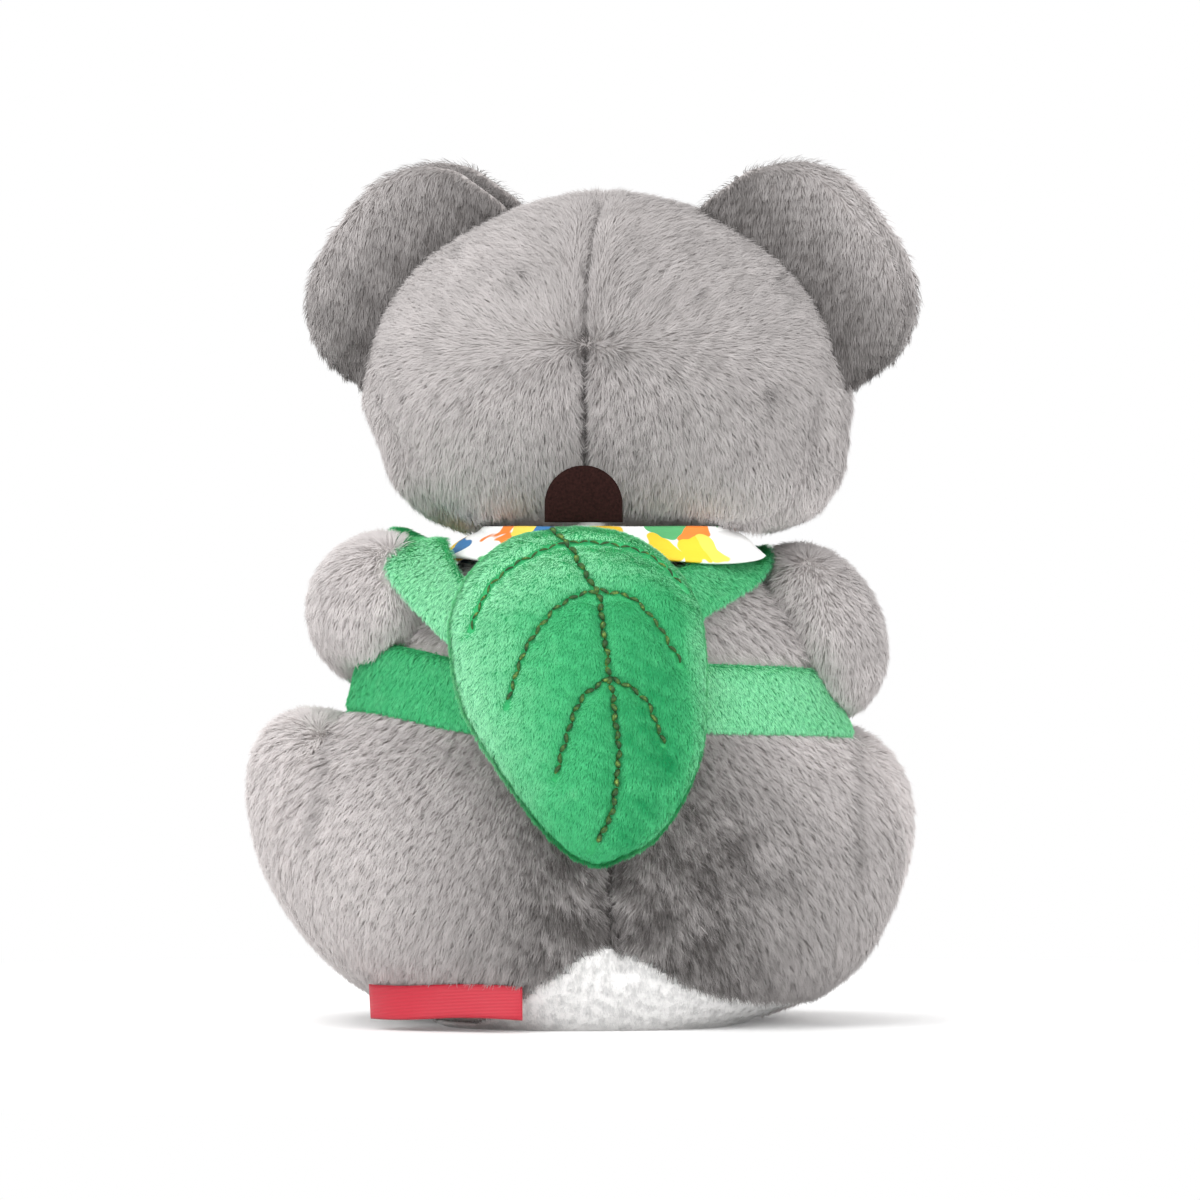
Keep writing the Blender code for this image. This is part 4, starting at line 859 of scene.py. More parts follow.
def last_run(side, sheet):
    """The sheet with its last run, over the shoulder to the leaf, drawn between its two edges."""
    top = int(np.argmax(sheet[:, STRAP_ACROSS // 2, 2]))
    rows = np.arange(len(sheet))
    share = np.clip((rows - top) / (len(sheet) - 1 - top), 0, 1)
    tables = ([(0.5 * i, *place) for i, place in enumerate(edge)] for edge in STRAP_TOPS[side])
    inner, outer = (through(table, share) for table in tables)
    if np.linalg.norm(sheet[-1, 0] - outer[-1]) < np.linalg.norm(sheet[-1, 0] - inner[-1]):
        inner, outer = outer, inner
    spread = np.linspace(0, 1, STRAP_ACROSS)[None, :, None]
    drawn = inner[:, None] * (1 - spread) + outer[:, None] * spread
    trees = [tree_of(torso_skin), tree_of(arm_skins[side])]
    for row in range(top, len(sheet)):
        for step in range(STRAP_ACROSS):
            x, y, z = drawn[row, step]
            seen = [tree.ray_cast(Vector((x, 0.2, z)), Vector((0, -1, 0)))[0] for tree in trees]
            seen = [place.y + STRAP_LAIN for place in seen if place is not None]
            drawn[row, step, 1] = max(seen + [y - 0.004])
    drawn[top:] = soften(drawn[top:], 6)
    weight = np.clip((rows - top + 3) / 5, 0, 1)[:, None, None]
    return sheet * (1 - weight) + drawn * weight


def strap_sheet(side):
    """Middles of a strap and the ways out of it, on a grid along and across it."""
    torso_tree, arm_tree = tree_of(torso_skin), tree_of(arm_skins[side])
    line = fine_line(STRAP_ROUTES[side], STRAP_STEP)
    lower = int(len(line) * LOWER_RUN)

    def laid(rows, lift):
        """Rows that rest on the body alone in the lower run, and on body and arm after it."""
        low = rest_on(rows[:lower].reshape(-1, 3), [torso_tree], lift)
        high = rest_on(rows[lower:].reshape(-1, 3), [torso_tree, arm_tree], lift)
        return [np.vstack(both).reshape(rows.shape) for both in zip(low, high)]

    line, outward = laid(line, STRAP_LIFT)
    line, outward = soften(line, 20), unit(soften(outward, 20))
    across = unit(np.cross(unit(np.gradient(line, axis=0)), outward))
    spread = np.linspace(-1, 1, STRAP_ACROSS)
    sheet = line[:, None] + across[:, None] * spread[None, :, None] * STRAP_WIDTH / 2
    lain, out = laid(sheet, STRAP_LAIN)
    out = unit(out + outward[:, None])
    sheet = soften(last_run(side, soften((lain + sheet) / 2, 8)), 3)
    facing = unit(np.cross(np.gradient(sheet, axis=0), np.gradient(sheet, axis=1)))
    return sheet, facing * np.sign((facing * out).sum(2, keepdims=True))


def strap_piece(side):
    sheet, out = strap_sheet(side)
    edge = np.linspace(-1, 1, STRAP_ACROSS)
    thick = STRAP_THICKNESS / 2 * np.sqrt(np.maximum(1 - edge**4, 0.02))
    rise = out * thick[None, :, None]
    grid = np.concatenate([sheet + rise, (sheet - rise)[:, ::-1]], axis=1)
    return skin(f"strap_{side}_loop", grid, green_backing), sheet


def bend_to_leaf(piece):
    """Green plush that lies on the body, with its place baked into its points."""
    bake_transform(piece)


strap_pieces = {}
for side in SIDES:
    piece, sheet = strap_piece(side)
    bend_to_leaf(piece)
    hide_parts(f"strap_{side}")
    strap_pieces[side] = piece


# %% [markdown]
# ## The neckerchief
#
# A strip of printed cotton goes round the neck and ends in a point on the chest. It is one
# sheet: for every angle round the neck we give the height of its lower edge, and the sheet
# hangs over the shoulders between the neck and that edge, with a few loose folds.

# %% Neckerchief
COTTON_THICKNESS = 0.0008
COTTON_TOP, COTTON_BACK_EDGE, COTTON_POINT = 0.1245, 0.1163, 0.070
COTTON_LIFT, COTTON_HALF_BIB = 0.0018, 0.029
COTTON_AROUND, COTTON_DOWN = 180, 16
STRAP_RIDE, STRAP_ANGLE = 0.0044, 2.55  # how far it rides up over the right strap, and where
COTTON_UPWARD = 0.6  # how much the way out of the cloth looks up


def cotton_edge(angle):
    """Height of the lower edge: level behind, falling to a point in front."""
    across = abs(0.052 * np.cos(angle))
    dip = np.clip(1 - across / COTTON_HALF_BIB, 0, 1) * (np.sin(angle) < 0)
    return COTTON_BACK_EDGE - (COTTON_BACK_EDGE - COTTON_POINT) * dip + 0.0008 * np.sin(5 * angle)


def cotton_grid():
    angle = np.linspace(0, 2 * pi, COTTON_AROUND, endpoint=False)
    rows = []
    for share in np.linspace(0, 1, COTTON_DOWN):
        level = COTTON_TOP + (cotton_edge(angle) - COTTON_TOP) * share
        fold = 0.0006 * np.sin(9 * angle + 4 * share) + 0.0012 * np.sin(pi * min(1, share * 1.5))
        fold = fold + STRAP_RIDE * dent(angle - STRAP_ANGLE, 0.5)
        wide, deep = torso_half_sizes(level)
        out = unit(np.stack([np.cos(angle) / wide, np.sin(angle) / deep, COTTON_UPWARD + 0 * angle], 1))
        rows.append(on_torso(angle, level) + out * (COTTON_LIFT + fold)[:, None])
    return np.array(rows)


# %% Printed cotton
PETALS = (  # the value from which each colour of the print holds
    (0.0, (0.95, 0.60, 0.03)), (0.36, (0.10, 0.42, 0.16)), (0.52, (0.90, 0.25, 0.04)),
    (0.64, (0.05, 0.20, 0.45)), (0.74, (0.75, 0.04, 0.05)), (0.84, (0.95, 0.70, 0.10)),
)
COTTON_WHITE = (0.97, 0.97, 0.96, 1)


def print_material():
    """White cotton with loose round petals in bright colours, set out by chance."""
    made, tree, shader = new_material("petal_print", 0.8)
    place = node(tree, "TexCoord").outputs["Object"]
    bend = noise(tree, 120, 1.0).outputs["Color"]
    shifted = node(tree, "Mix", {"Factor": 0.012, "A": place, "B": bend}, data_type="VECTOR")
    cells = node(tree, "TexVoronoi", {"Scale": 82, "Vector": shifted.outputs["Result"]})
    petal = ramp(tree, cells.outputs["Color"], PETALS, "CONSTANT")
    edge = {"From Min": 0.46, "From Max": 0.43, "Value": cells.outputs["Distance"]}
    inside = node(tree, "MapRange", edge).outputs["Result"]
    colour = node(tree, "Mix", {"A": COTTON_WHITE, "Factor": inside, "B": petal}, data_type="RGBA")
    fill_socket(tree, shader.inputs["Base Color"], colour.outputs["Result"])
    add_bump(tree, shader, noise(tree, 2500, 1.0).outputs["Fac"], 0.0001)
    return made


petal_print = print_material()
cotton_points = cotton_grid().reshape(-1, 3)
neckerchief = make_object("neckerchief", cotton_points, grid_faces(COTTON_DOWN, COTTON_AROUND), petal_print)
body_of_cloth = neckerchief.modifiers.new("thickness", "SOLIDIFY")
body_of_cloth.thickness, body_of_cloth.offset = COTTON_THICKNESS, 0
finish_piece(neckerchief, "body", "printed_cotton", "bandana")

# %% [markdown]
# ## Stem, backing and label
#
# Three small flat pieces: a felt tab at the top of the leaf, the backing that closes the leaf
# against the spine, and a folded ribbon in the seam behind the seat. Felt is matted fibre with
# no weave, so its colour and surface are a fine noise. The ribbon is plain.


# %% A flat piece from its outline
def slab(name, outline, thickness, matrix, material, rim=0.25):
    """A flat piece with a soft edge, from the points of its outline in its own plane."""
    outline = np.array(outline)
    middle = outline.mean(0)
    rings = []
    for lift, draw in ((-0.5, rim), (-0.5 + rim * 0.8, 0.0), (0.5 - rim * 0.8, 0.0), (0.5, rim)):
        reach = np.linalg.norm(outline - middle, axis=1, keepdims=True)
        flat = middle + (outline - middle) * (1 - draw * thickness / reach)
        rings.append(np.column_stack([flat, np.full(len(flat), lift * thickness)]))
    return skin(name, placed(np.array(rings), matrix), material)


# %% Felt stem and leaf backing
STEM_WIDTH, STEM_HEIGHT, STEM_THICKNESS = 0.0192, 0.0140, 0.0020
FELT_DARK, FELT_LIGHT = (0.011, 0.0038, 0.0032), (0.026, 0.0095, 0.0080)
felt = cloth_material("brown_felt_fibre", FELT_DARK, FELT_LIGHT, 1600, 0.95, 0.0004)
felt.node_tree.nodes["Principled BSDF"].inputs["Specular IOR Level"].default_value = 0.10
half = STEM_WIDTH / 2
arch = [(half * cos(a), half * sin(a)) for a in np.linspace(0, pi, 40)]
stem_outline = [(x, half - STEM_HEIGHT) for x in (-half, 0.0, half)] + arch
upright = Matrix.Rotation(pi / 2, 4, "X")
stem_foot = leaf_frame() @ Vector((0.0043, LEAF_HEIGHT, -LEAF_BACKING / 2))
stem_stand = Matrix.Translation(stem_foot + Vector((0, 0, STEM_HEIGHT - half))) @ upright
stem = slab("felt_stem", stem_outline, STEM_THICKNESS, stem_stand, felt)
finish_piece(stem, "leaf", "brown_felt", "leaf_stem")

BACKING_SCALE = 0.965  # of the leaf's outline, about its middle
backing_stand = leaf_frame() @ Matrix.Translation((0, 0, -LEAF_BACKING / 2 - 0.0002))
backing_outline = leaf_outline() * BACKING_SCALE + (0, LEAF_HEIGHT * 0.0175)
backing = slab("leaf_backing", backing_outline, LEAF_BACKING, backing_stand, green_backing)
finish_piece(backing, "leaf", "green_plush", "leaf_back")
leaf_area = 2 * float(leaf_half_width(np.linspace(0, 1, 200)).mean()) * LEAF_HEIGHT
print("leaf area", round(leaf_area, 5))

# %% Label
LABEL_LENGTH, LABEL_HEIGHT, LABEL_THICKNESS = 0.0350, 0.0078, 0.0011
LABEL_INNER, LABEL_LEVEL = 0.0200, 0.0037


def label_grid(along=40, tall=10):
    """A ribbon folded over: up the outer face, round the fold below and up behind."""
    wide, deep = torso_half_sizes(np.full(tall, LABEL_LEVEL + LABEL_HEIGHT))
    level = LABEL_LEVEL + LABEL_HEIGHT * np.linspace(1, 0, tall)
    rows = []
    for share in np.arange(along) / (along - 1):
        x = LABEL_INNER + LABEL_LENGTH * share
        y = deep * np.sqrt(np.maximum(1 - ((x - torso_middle_x(level)) / wide) ** 2, 0.02))
        slack = 0.0006 * sin(9 * share) * np.linspace(0, 1, tall)
        front = np.stack([np.full(tall, x), y - 0.0010 + slack, level + 0.0005 * sin(5 * share)], 1)
        inner = front - (0, LABEL_THICKNESS, 0)
        fold = front[-1] * (1, 0.5, 1) + inner[-1] * (0, 0.5, 0) - (0, 0, LABEL_THICKNESS * 0.5)
        rows.append(np.vstack([front, fold, inner[::-1]]))
    return np.array(rows)


def raised_threads(tree):
    """The fine threads across a satin ribbon."""
    place = node(tree, "TexCoord").outputs["Object"]
    return node(tree, "TexWave", {"Scale": 900, "Distortion": 0.6, "Vector": place}, bands_direction="Z")


ribbon_stops = [(0.0, (0.40, 0.008, 0.022)), (1.0, (0.57, 0.017, 0.042))]
ribbon = grained("red_ribbon_weave", 0.45, ribbon_stops, 0.0001, texture=raised_threads)
label = skin("seam_label", label_grid(), ribbon)
finish_piece(label, "body", "red_ribbon", "label")

# %% [markdown]
# ## White panels
#
# The belly, the seat and a small point behind are cut from white plush. On the real toy this
# panel is sewn in, so here it is a thin piece of its own, made from the part of the body's skin
# that a rule of place calls white, and lifted a hair above it.

# %% Where the body is white
SEAT_EDGE = (  # height of the white edge behind, by place across the body
    (-0.083, 0.0075), (-0.0425, 0.0085), (-0.024, 0.0120), (-0.0088, 0.0200), (0.0018, 0.0225),
    (0.012, 0.0160), (0.0214, 0.0095), (0.032, 0.0015), (0.083, 0.0015),
)
BELLY_HALF, BELLY_TOP = 0.036, 0.096


def is_white(points):
    x, y, z = points[:, 0], points[:, 1], points[:, 2]
    behind = z < through(SEAT_EDGE, x)[:, 0]
    middle = BELLY_TOP / 2
    belly = ((x - torso_middle_x(z)) / BELLY_HALF) ** 2 + ((z - middle) / middle) ** 2 < 1
    in_front = belly | (z < 0.008)
    return np.where(y > 0, behind, in_front) | (z < 0.002)


# %% White panel
PANEL_LIFT, PANEL_THICKNESS = 0.0003, 0.0008
torso_points = np.array([v.co for v in torso_skin.data.vertices])
torso_normals = np.array([v.normal for v in torso_skin.data.vertices])
white = is_white(torso_points)
panel_faces = [list(f.vertices) for f in torso_skin.data.polygons if all(white[i] for i in f.vertices)]
used = sorted({i for f in panel_faces for i in f})
renumber = {old: new for new, old in enumerate(used)}
panel_points = torso_points[used] + torso_normals[used] * PANEL_LIFT
panel_corners = [[renumber[i] for i in f] for f in panel_faces]
belly = make_object("belly_panel_skin", panel_points, panel_corners, white_backing)
belly_body = belly.modifiers.new("thickness", "SOLIDIFY")
belly_body.thickness, belly_body.offset = PANEL_THICKNESS, 1.0
finish_piece(belly, "body", "white_plush", "belly_panel")
print("white faces", len(panel_faces))


# %% Soles and ear linings
def dome(name, half_sizes, rise, matrix, material, around=48, rings=12):
    """A low cushion with an oval outline in its own plane, bulging along its z."""
    rows = []
    angle = np.linspace(0, 2 * pi, around, endpoint=False)
    for share in np.linspace(0, 1, rings)[1:]:
        flat = np.stack([half_sizes[0] * share * np.cos(angle), half_sizes[1] * share * np.sin(angle)], 1)
        rows.append(np.column_stack([flat, np.full(around, rise * (1 - share**2.5))]))
    rows.append(rows[-1] * (1, 1, 0) - (0, 0, 0.0008))
    return skin(name, placed(np.array(rows), matrix)[::-1], material)


SOLE_HALF = (0.015, 0.018)
sole_pads = {}
for side in SIDES:
    pad_middle = hip(side) + np.array([SIDES[side] * LEG_SPLAY, -LEG_REACH + 0.0012, -LEG_DROP])
    stand = Matrix.Translation(pad_middle) @ upright
    sole_pads[side] = dome(f"sole_pad_{side}_skin", SOLE_HALF, 0.0016, stand, white_backing)
    finish_piece(sole_pads[side], f"leg_{side}", "white_plush", f"sole_pad_{side}")

LINING_HALF, LINING_PLACE, LINING_FACE = (0.018, 0.0125), 0.0145, -0.0066
linings = {}
for side in SIDES:
    front = Matrix.Translation((0, LINING_FACE, LINING_PLACE)) @ upright
    stand = Matrix.Translation(ear_front_move) @ ear_frame(side) @ front
    linings[side] = dome(f"ear_{side}_lining_skin", LINING_HALF, 0.0012, stand, white_backing)
    finish_piece(linings[side], f"ear_{side}", "white_plush", f"ear_{side}_lining")

# %% [markdown]
# ## The face
#
# The photograph doesn't show the face, so it gets the plain one that such a toy has: a white
# muzzle, a black plush nose and two round plastic eyes, which are pressed on from outside and
# held by washers inside the head.


# %% Muzzle, nose and eyes
def egg(name, middle, half_sizes, matrix, material, around=64, along=40):
    """An egg standing along z in a frame."""
    at = np.linspace(-pi / 2, pi / 2, along)[1:-1]
    middles = np.array(middle) + np.stack([0 * at, 0 * at, half_sizes[2] * np.sin(at)], 1)
    grid = oval_rings(middles, half_sizes[0] * np.cos(at), half_sizes[1] * np.cos(at), around)
    return skin(name, placed(grid, matrix), material)


FACE_Y = -HEAD_FORWARD - HEAD_DEPTH / 2
MUZZLE_MIDDLE, MUZZLE_HALF = (0.0, FACE_Y + 0.008, 0.141), (0.0235, 0.0165, 0.0155)
NOSE_MIDDLE, NOSE_HALF = (0.0, FACE_Y - 0.0080, 0.152), (0.0098, 0.0072, 0.0128)
muzzle = egg("muzzle_skin", MUZZLE_MIDDLE, MUZZLE_HALF, head_frame, white_backing)
stuffed(muzzle, "head", "white_plush", "muzzle")
nose = egg("nose_skin", NOSE_MIDDLE, NOSE_HALF, head_frame, black_backing)
stuffed(nose, "head", "black_plush", "nose")

eye_stops = [(0.3, (0.004, 0.004, 0.004)), (0.8, (0.010, 0.008, 0.007))]
eye_black = grained("eye_plastic", 0.12, eye_stops, 0, 400, 2.0)
coat = eye_black.node_tree.nodes["Principled BSDF"].inputs
coat["Coat Weight"].default_value, coat["Coat Roughness"].default_value = 0.6, 0.05
EYE_LEVEL, EYE_ACROSS, EYE_RADIUS, EYE_DOME = 0.163, 0.024, 0.00525, 0.0042
for side in SIDES:
    bulge = (1 - (EYE_ACROSS / (HEAD_WIDTH / 2)) ** 2) ** 0.5
    seat = (SIDES[side] * EYE_ACROSS, -HEAD_FORWARD - HEAD_DEPTH / 2 * bulge + 0.0008, EYE_LEVEL)
    eye = egg(f"eye_{side}_dome", seat, (EYE_RADIUS, EYE_DOME, EYE_RADIUS), head_frame, eye_black, 40, 26)
    finish_piece(eye, "head", "black_plastic", f"eye_{side}")

# %% Inner pieces
stuffing = cloth_material("polyester_fibre", (0.78, 0.78, 0.76), (0.93, 0.93, 0.91), 500, 1.0, 0.001)
NECK_RADIUS, NECK_LEVEL = 0.0195, 0.118
neck_wad = egg("neck_wad", (-TORSO_LEAN, 0, NECK_LEVEL), (NECK_RADIUS,) * 3, Matrix.Identity(4), stuffing)
stuffed(neck_wad, "neck", "stuffing", "neck_stuffing")
moulded = cloth_material("moulded_plastic", (0.76, 0.76, 0.74), (0.82, 0.82, 0.80), 300, 0.35, 0.00003)
for inner_node in ("squeaker_bulb", "squeaker_reed", "eye_washer_left", "eye_washer_right"):
    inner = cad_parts[inner_node]
    inner.data.materials.clear()
    inner.data.materials.append(moulded)

# %% [markdown]
# ## Stitches
#
# The veins are sewn with a thick two-colour thread, one short stitch after another. Each stitch
# is a small spindle that lies along its vein, dips into the cloth at both ends and leans a
# little to one side and then the other, as hand-like machine stitching does.

# %% Stitches along the veins
STITCH_LENGTH, STITCH_WIDTH, STITCH_LEAN, STITCH_LIFT = 0.0022, 0.00110, 0.34, 0.0005
MIDRIB_WIDER = 1.25
rng = np.random.default_rng(11)
leaf_tree = tree_of(leaf_skin)
leaf_place = leaf_frame()
STITCH_SIDES, STITCH_RINGS = 7, 6  # of one stitch's spindle
STITCH_GAP, STITCH_JITTER = 0.04, 0.00006  # a share of its length left out at each end, and metres


def on_leaf_crown(flat, lift):
    """World points on the leaf's crown over places in its plane, and the way out there."""
    places, outward = [], []
    down = leaf_place.to_3x3() @ Vector((0, 0, -1))
    for x, y in flat:
        start = leaf_place @ Vector((x, y, 0.05))
        hit, normal, _, _ = leaf_tree.ray_cast(start, down)
        if hit is None:
            hit, normal, _, _ = leaf_tree.find_nearest(leaf_place @ Vector((x, y, 0.004)))
        places.append(hit + normal * lift)
        outward.append(normal)
    return np.array(places), np.array(outward)


def spindle(start, end, outward, width):
    """A thread's short run between two points, thickest in the middle."""
    across = unit(np.cross(unit(end - start), outward))
    share = np.linspace(0, 1, STITCH_RINGS)
    middles = start + (end - start) * share[:, None]
    middles = middles + outward * (width * 0.5 * np.sin(pi * share) - width * 0.1)[:, None]
    radius = width / 2 * (0.35 + 0.65 * np.sin(pi * share) ** 0.6)
    return rings_of(middles, across * radius[:, None], outward * radius[:, None] * 0.8, STITCH_SIDES)


def stitched(lines, widths):
    """The points and faces of every stitch along some lines."""
    one = grid_faces(STITCH_RINGS, STITCH_SIDES)
    last = (STITCH_RINGS - 1) * STITCH_SIDES
    points, faces = [], []
    for line, width in zip(lines, widths):
        places, outward = on_leaf_crown(fine_line(line[::6], STITCH_LENGTH), STITCH_LIFT)
        for i in range(len(places) - 1):
            step = places[i + 1] - places[i]
            out = unit(outward[i] + outward[i + 1])
            aside = np.cross(unit(step), out) * STITCH_LENGTH * STITCH_LEAN / 2 * (-1) ** i
            gap = step * STITCH_GAP
            jitter = rng.normal(0, STITCH_JITTER, 3)
            first, second = places[i] + gap - aside + jitter, places[i + 1] - gap + aside + jitter
            grid = spindle(first, second, out, width)
            start = len(points)
            points.extend(grid.reshape(-1, 3))
            faces += (one + start).tolist()
            faces.append([start + j for j in range(STITCH_SIDES)][::-1])
            faces.append([start + last + j for j in range(STITCH_SIDES)])
    return points, faces


thread_stops = [(0.42, (0.012, 0.052, 0.010)), (0.58, (0.045, 0.12, 0.018)), (0.76, (0.24, 0.33, 0.055))]
thread = grained("olive_thread", 0.7, thread_stops, 0.0001, 700, 2.0, 0.6)
vein_widths = [STITCH_WIDTH * w for w in (MIDRIB_WIDER, 0.60, 0.85, 1.0, 0.60, 0.85, 1.0)]
stitch_points, stitch_faces = stitched(vein_lines, vein_widths)
stitches = make_object("vein_stitches", stitch_points, stitch_faces, thread)
finish_piece(stitches, "leaf", "green_plush")
print("stitches", len(stitch_points) // (STITCH_SIDES * STITCH_RINGS))

# %% [markdown]
# ## Growing fur
#
# Fur could be a hair system, but hair isn't a mesh, and this toy has to leave Blender as one.
# So each strand is a narrow ribbon of two faces that bends over and ends in a point. Three
# things make it look like plush and not like grass: strands lie over each other along a nap,
# a slow noise draws their tips together in small tufts with darker partings between, and their
# normals mostly follow the body, so that light falls on the form and not on each ribbon.


# %% Noise made of waves
def waves(seed, wavelength, count=24):
    """Plane waves in random directions, of about one wavelength."""
    chance = np.random.default_rng(seed)
    direction = unit(chance.normal(size=(count, 3)))
    lengths = wavelength * chance.uniform(0.7, 1.4, (count, 1))
    return direction * 2 * pi / lengths, chance.uniform(0, 2 * pi, count)


def wave_noise(points, which):
    """Value of the noise, about -2 to 2, and its slope, as arrays."""
    number, phase = which
    angle = points @ number.T + phase
    size = (2 / len(phase)) ** 0.5
    return np.cos(angle).sum(1) * size, -np.sin(angle) @ number * size


# %% Scatter roots
def triples(items, attribute, kind=float):
    """Three numbers for each item of a mesh, as an array."""
    values = np.empty(len(items) * 3, kind)
    items.foreach_get(attribute, values)
    return values.reshape(-1, 3)


def scatter(piece, density, chance):
    """Random even points on a piece, with its smooth normal at each."""
    mesh = piece.data
    mesh.calc_loop_triangles()
    points, normals = triples(mesh.vertices, "co"), triples(mesh.vertex_normals, "vector")
    corner = triples(mesh.loop_triangles, "vertices", int)
    a, b, c = points[corner[:, 0]], points[corner[:, 1]], points[corner[:, 2]]
    area = np.linalg.norm(np.cross(b - a, c - a), axis=1) / 2
    count = int(area.sum() * density)
    reach = np.cumsum(area) / area.sum()
    picked = np.searchsorted(reach, (np.arange(count) + chance.random(count)) / count)
    picked = np.minimum(picked, len(area) - 1)
    root, share = np.sqrt(chance.random(count)), chance.random(count)
    weight = np.stack([1 - root, root * (1 - share), root * share], 1)[..., None]
    place = (points[corner[picked]] * weight).sum(1)
    return place, unit((normals[corner[picked]] * weight).sum(1))


def outside(points, pieces, margin):
    """True where a point is at least `margin` outside every one of the closed pieces."""
    free = np.ones(len(points), bool)
    for piece in pieces:
        tree = tree_of(piece)
        box = np.array([piece.matrix_world @ Vector(c) for c in piece.bound_box])
        near = ((points > box.min(0) - margin) & (points < box.max(0) + margin)).all(1) & free
        for i in np.flatnonzero(near):
            place, normal, _, _ = tree.find_nearest(Vector(points[i]))
            free[i] = (Vector(points[i]) - place).dot(normal) > margin
    return free


# %% Strands
TONE_COLUMNS = 128
FLOOR_CLEAR = 0.0003
MOST_PIECE_FACES = 190000
CORNERS, STARTS = np.array([0, 1, 3, 2, 2, 3, 4]), np.array([0, 4])  # of one strand's two faces


def strands_mesh(name, rows, normals, tone, width, side, material):
    """Ribbons through rows of points: two ribbon faces, the last one pointed."""
    root, middle, tip = rows
    count = len(root)
    number = np.arange(count)[:, None]
    shift = side * width[:, None] / 2
    points = np.stack([root - shift, root + shift, middle - shift * 0.9, middle + shift * 0.9, tip], 1)
    points[..., 2] = np.maximum(points[..., 2], FLOOR_CLEAR)
    mesh = bpy.data.meshes.new(name)
    mesh.vertices.add(count * 5)
    mesh.vertices.foreach_set("co", points.astype(np.float32).ravel())
    mesh.loops.add(count * 7)
    mesh.loops.foreach_set("vertex_index", (CORNERS + 5 * number).astype(np.int32).ravel())
    mesh.polygons.add(count * 2)
    mesh.polygons.foreach_set("loop_start", (STARTS + 7 * number).astype(np.int32).ravel())
    mesh.update(calc_edges=True)
    column = (np.floor(np.clip(tone, 0, 0.999) * TONE_COLUMNS) + 0.5) / TONE_COLUMNS
    slim = 0.3 / TONE_COLUMNS
    along = np.array([0, 0, 0.5, 0.5, 0.5, 0.5, 1.0])
    aside = np.array([-slim, slim, slim, -slim, -slim, slim, 0])
    where = np.stack([column[:, None] + aside, along + 0 * column[:, None]], 2)
    layer = mesh.uv_layers.new(name=FUR_MAP)
    layer.uv.foreach_set("vector", where.astype(np.float32).ravel())
    shade = np.repeat(normals[:, None], 5, axis=1)
    custom = mesh.attributes.new("custom_normal", "FLOAT_VECTOR", "POINT")
    custom.data.foreach_set("vector", shade.astype(np.float32).ravel())
    mesh.materials.append(material)
    return in_scene(name, mesh)


LEAN_ROOT, LEAN_TIP = 0.72, 1.08  # how far each half of a strand leans, by how flat it lies
PULL_MIDDLE, PULL_TIP = 0.6, 2.2  # how strongly a tuft gathers the middle and the tip


def grow(name, piece, material, density, length, width, nap, lay, tone, seed, clear=(), under=(), keep=None,
         clump=0.00045, tuft=0.0030, stray=0.24, margin=0.0008, speckle=0.016, patchy=3.5, shorten=None):
    """Fur on a piece: nap gives the way it lies and lay how flat, from 0, upright, to 1."""
    chance = np.random.default_rng(seed)
    root, out = scatter(piece, density, chance)
    kept = np.ones(len(root), bool) if keep is None else keep(root)
    root, out = root[kept], out[kept]
    kept = outside(root, clear, margin)
    root, out = root[kept], out[kept]
    count = len(root)
    value, slope = wave_noise(root, waves(seed + 1, tuft))
    slope = slope * tuft / (2 * pi)
    slope -= (slope * out).sum(1, keepdims=True) * out
    gather = slope / (1 + np.linalg.norm(slope, axis=1, keepdims=True))
    way = unit(nap(root, out))
    way = way - (way * out).sum(1, keepdims=True) * out
    pull = np.linalg.norm(way, axis=1)
    along = unit(way) + stray * chance.normal(size=(count, 3))
    along = unit(along - (along * out).sum(1, keepdims=True) * out)
    flat = lay(root, out) * (0.85 + 0.15 * np.minimum(1, pull * 1.5)) + 0.05 * chance.normal(size=count)
    flat = np.clip(flat, 0.05, 0.93)
    grown = length * (1 + 0.08 * np.clip(value, -2, 2) + 0.10 * np.clip(chance.normal(size=count), -2, 1.5))
    if shorten is not None:
        grown = grown * shorten(root)
    grown = grown[:, None] / 2
    lean_root, lean_tip = (flat[:, None] * pi / 2 * share for share in (LEAN_ROOT, LEAN_TIP))
    middle = root + grown * (out * np.cos(lean_root) + along * np.sin(lean_root))
    middle = middle + gather * clump * PULL_MIDDLE
    tip = middle + grown * (out * np.cos(lean_tip) + along * np.sin(lean_tip)) + gather * clump * PULL_TIP
    if under:
        kept = outside(middle, under, 0.0012) & outside(tip, under, 0.0008)
        root, middle, tip, out, along, value = (row[kept] for row in (root, middle, tip, out, along, value))
        count = len(root)
    turn = chance.normal(0, 0.30, (count, 1))
    side = unit(np.cross(along, out)) * np.cos(turn) + out * np.sin(turn)
    face = unit(np.cross(side, tip - root))
    shade = unit(out + 0.05 * chance.normal(size=(count, 3)) + 0.06 * face)
    patch, _ = wave_noise(root, waves(seed + 2, tuft * 3))
    base = tone(root)
    uneven = 1 + patchy * np.clip(0.5 - base, 0, 0.4) / 0.4
    # The tuft noise, value, paints the partings between tufts a little darker: painted shade. Patch and
    # speckle vary the tone at random.
    light = base + uneven * (0.018 * patch + 0.016 * value + speckle * chance.normal(size=count))
    thick = width * chance.uniform(0.75, 1.25, count)
    parts = 1 + count * 3 // MOST_PIECE_FACES
    made = []
    for number, chosen in enumerate(np.array_split(np.argsort(root[:, 0]), parts)):
        part_name = name if parts == 1 else f"{name}_{number + 1}"
        rows = (root[chosen], middle[chosen], tip[chosen])
        looks = (shade[chosen], light[chosen], thick[chosen], side[chosen])
        made.append(strands_mesh(part_name, rows, *looks, material))
    print(name, "strands", count, "pieces", len(made))
    return made


# %% Which way the fur lies
CAMERA_SWING = radians(7)  # of the camera round the toy


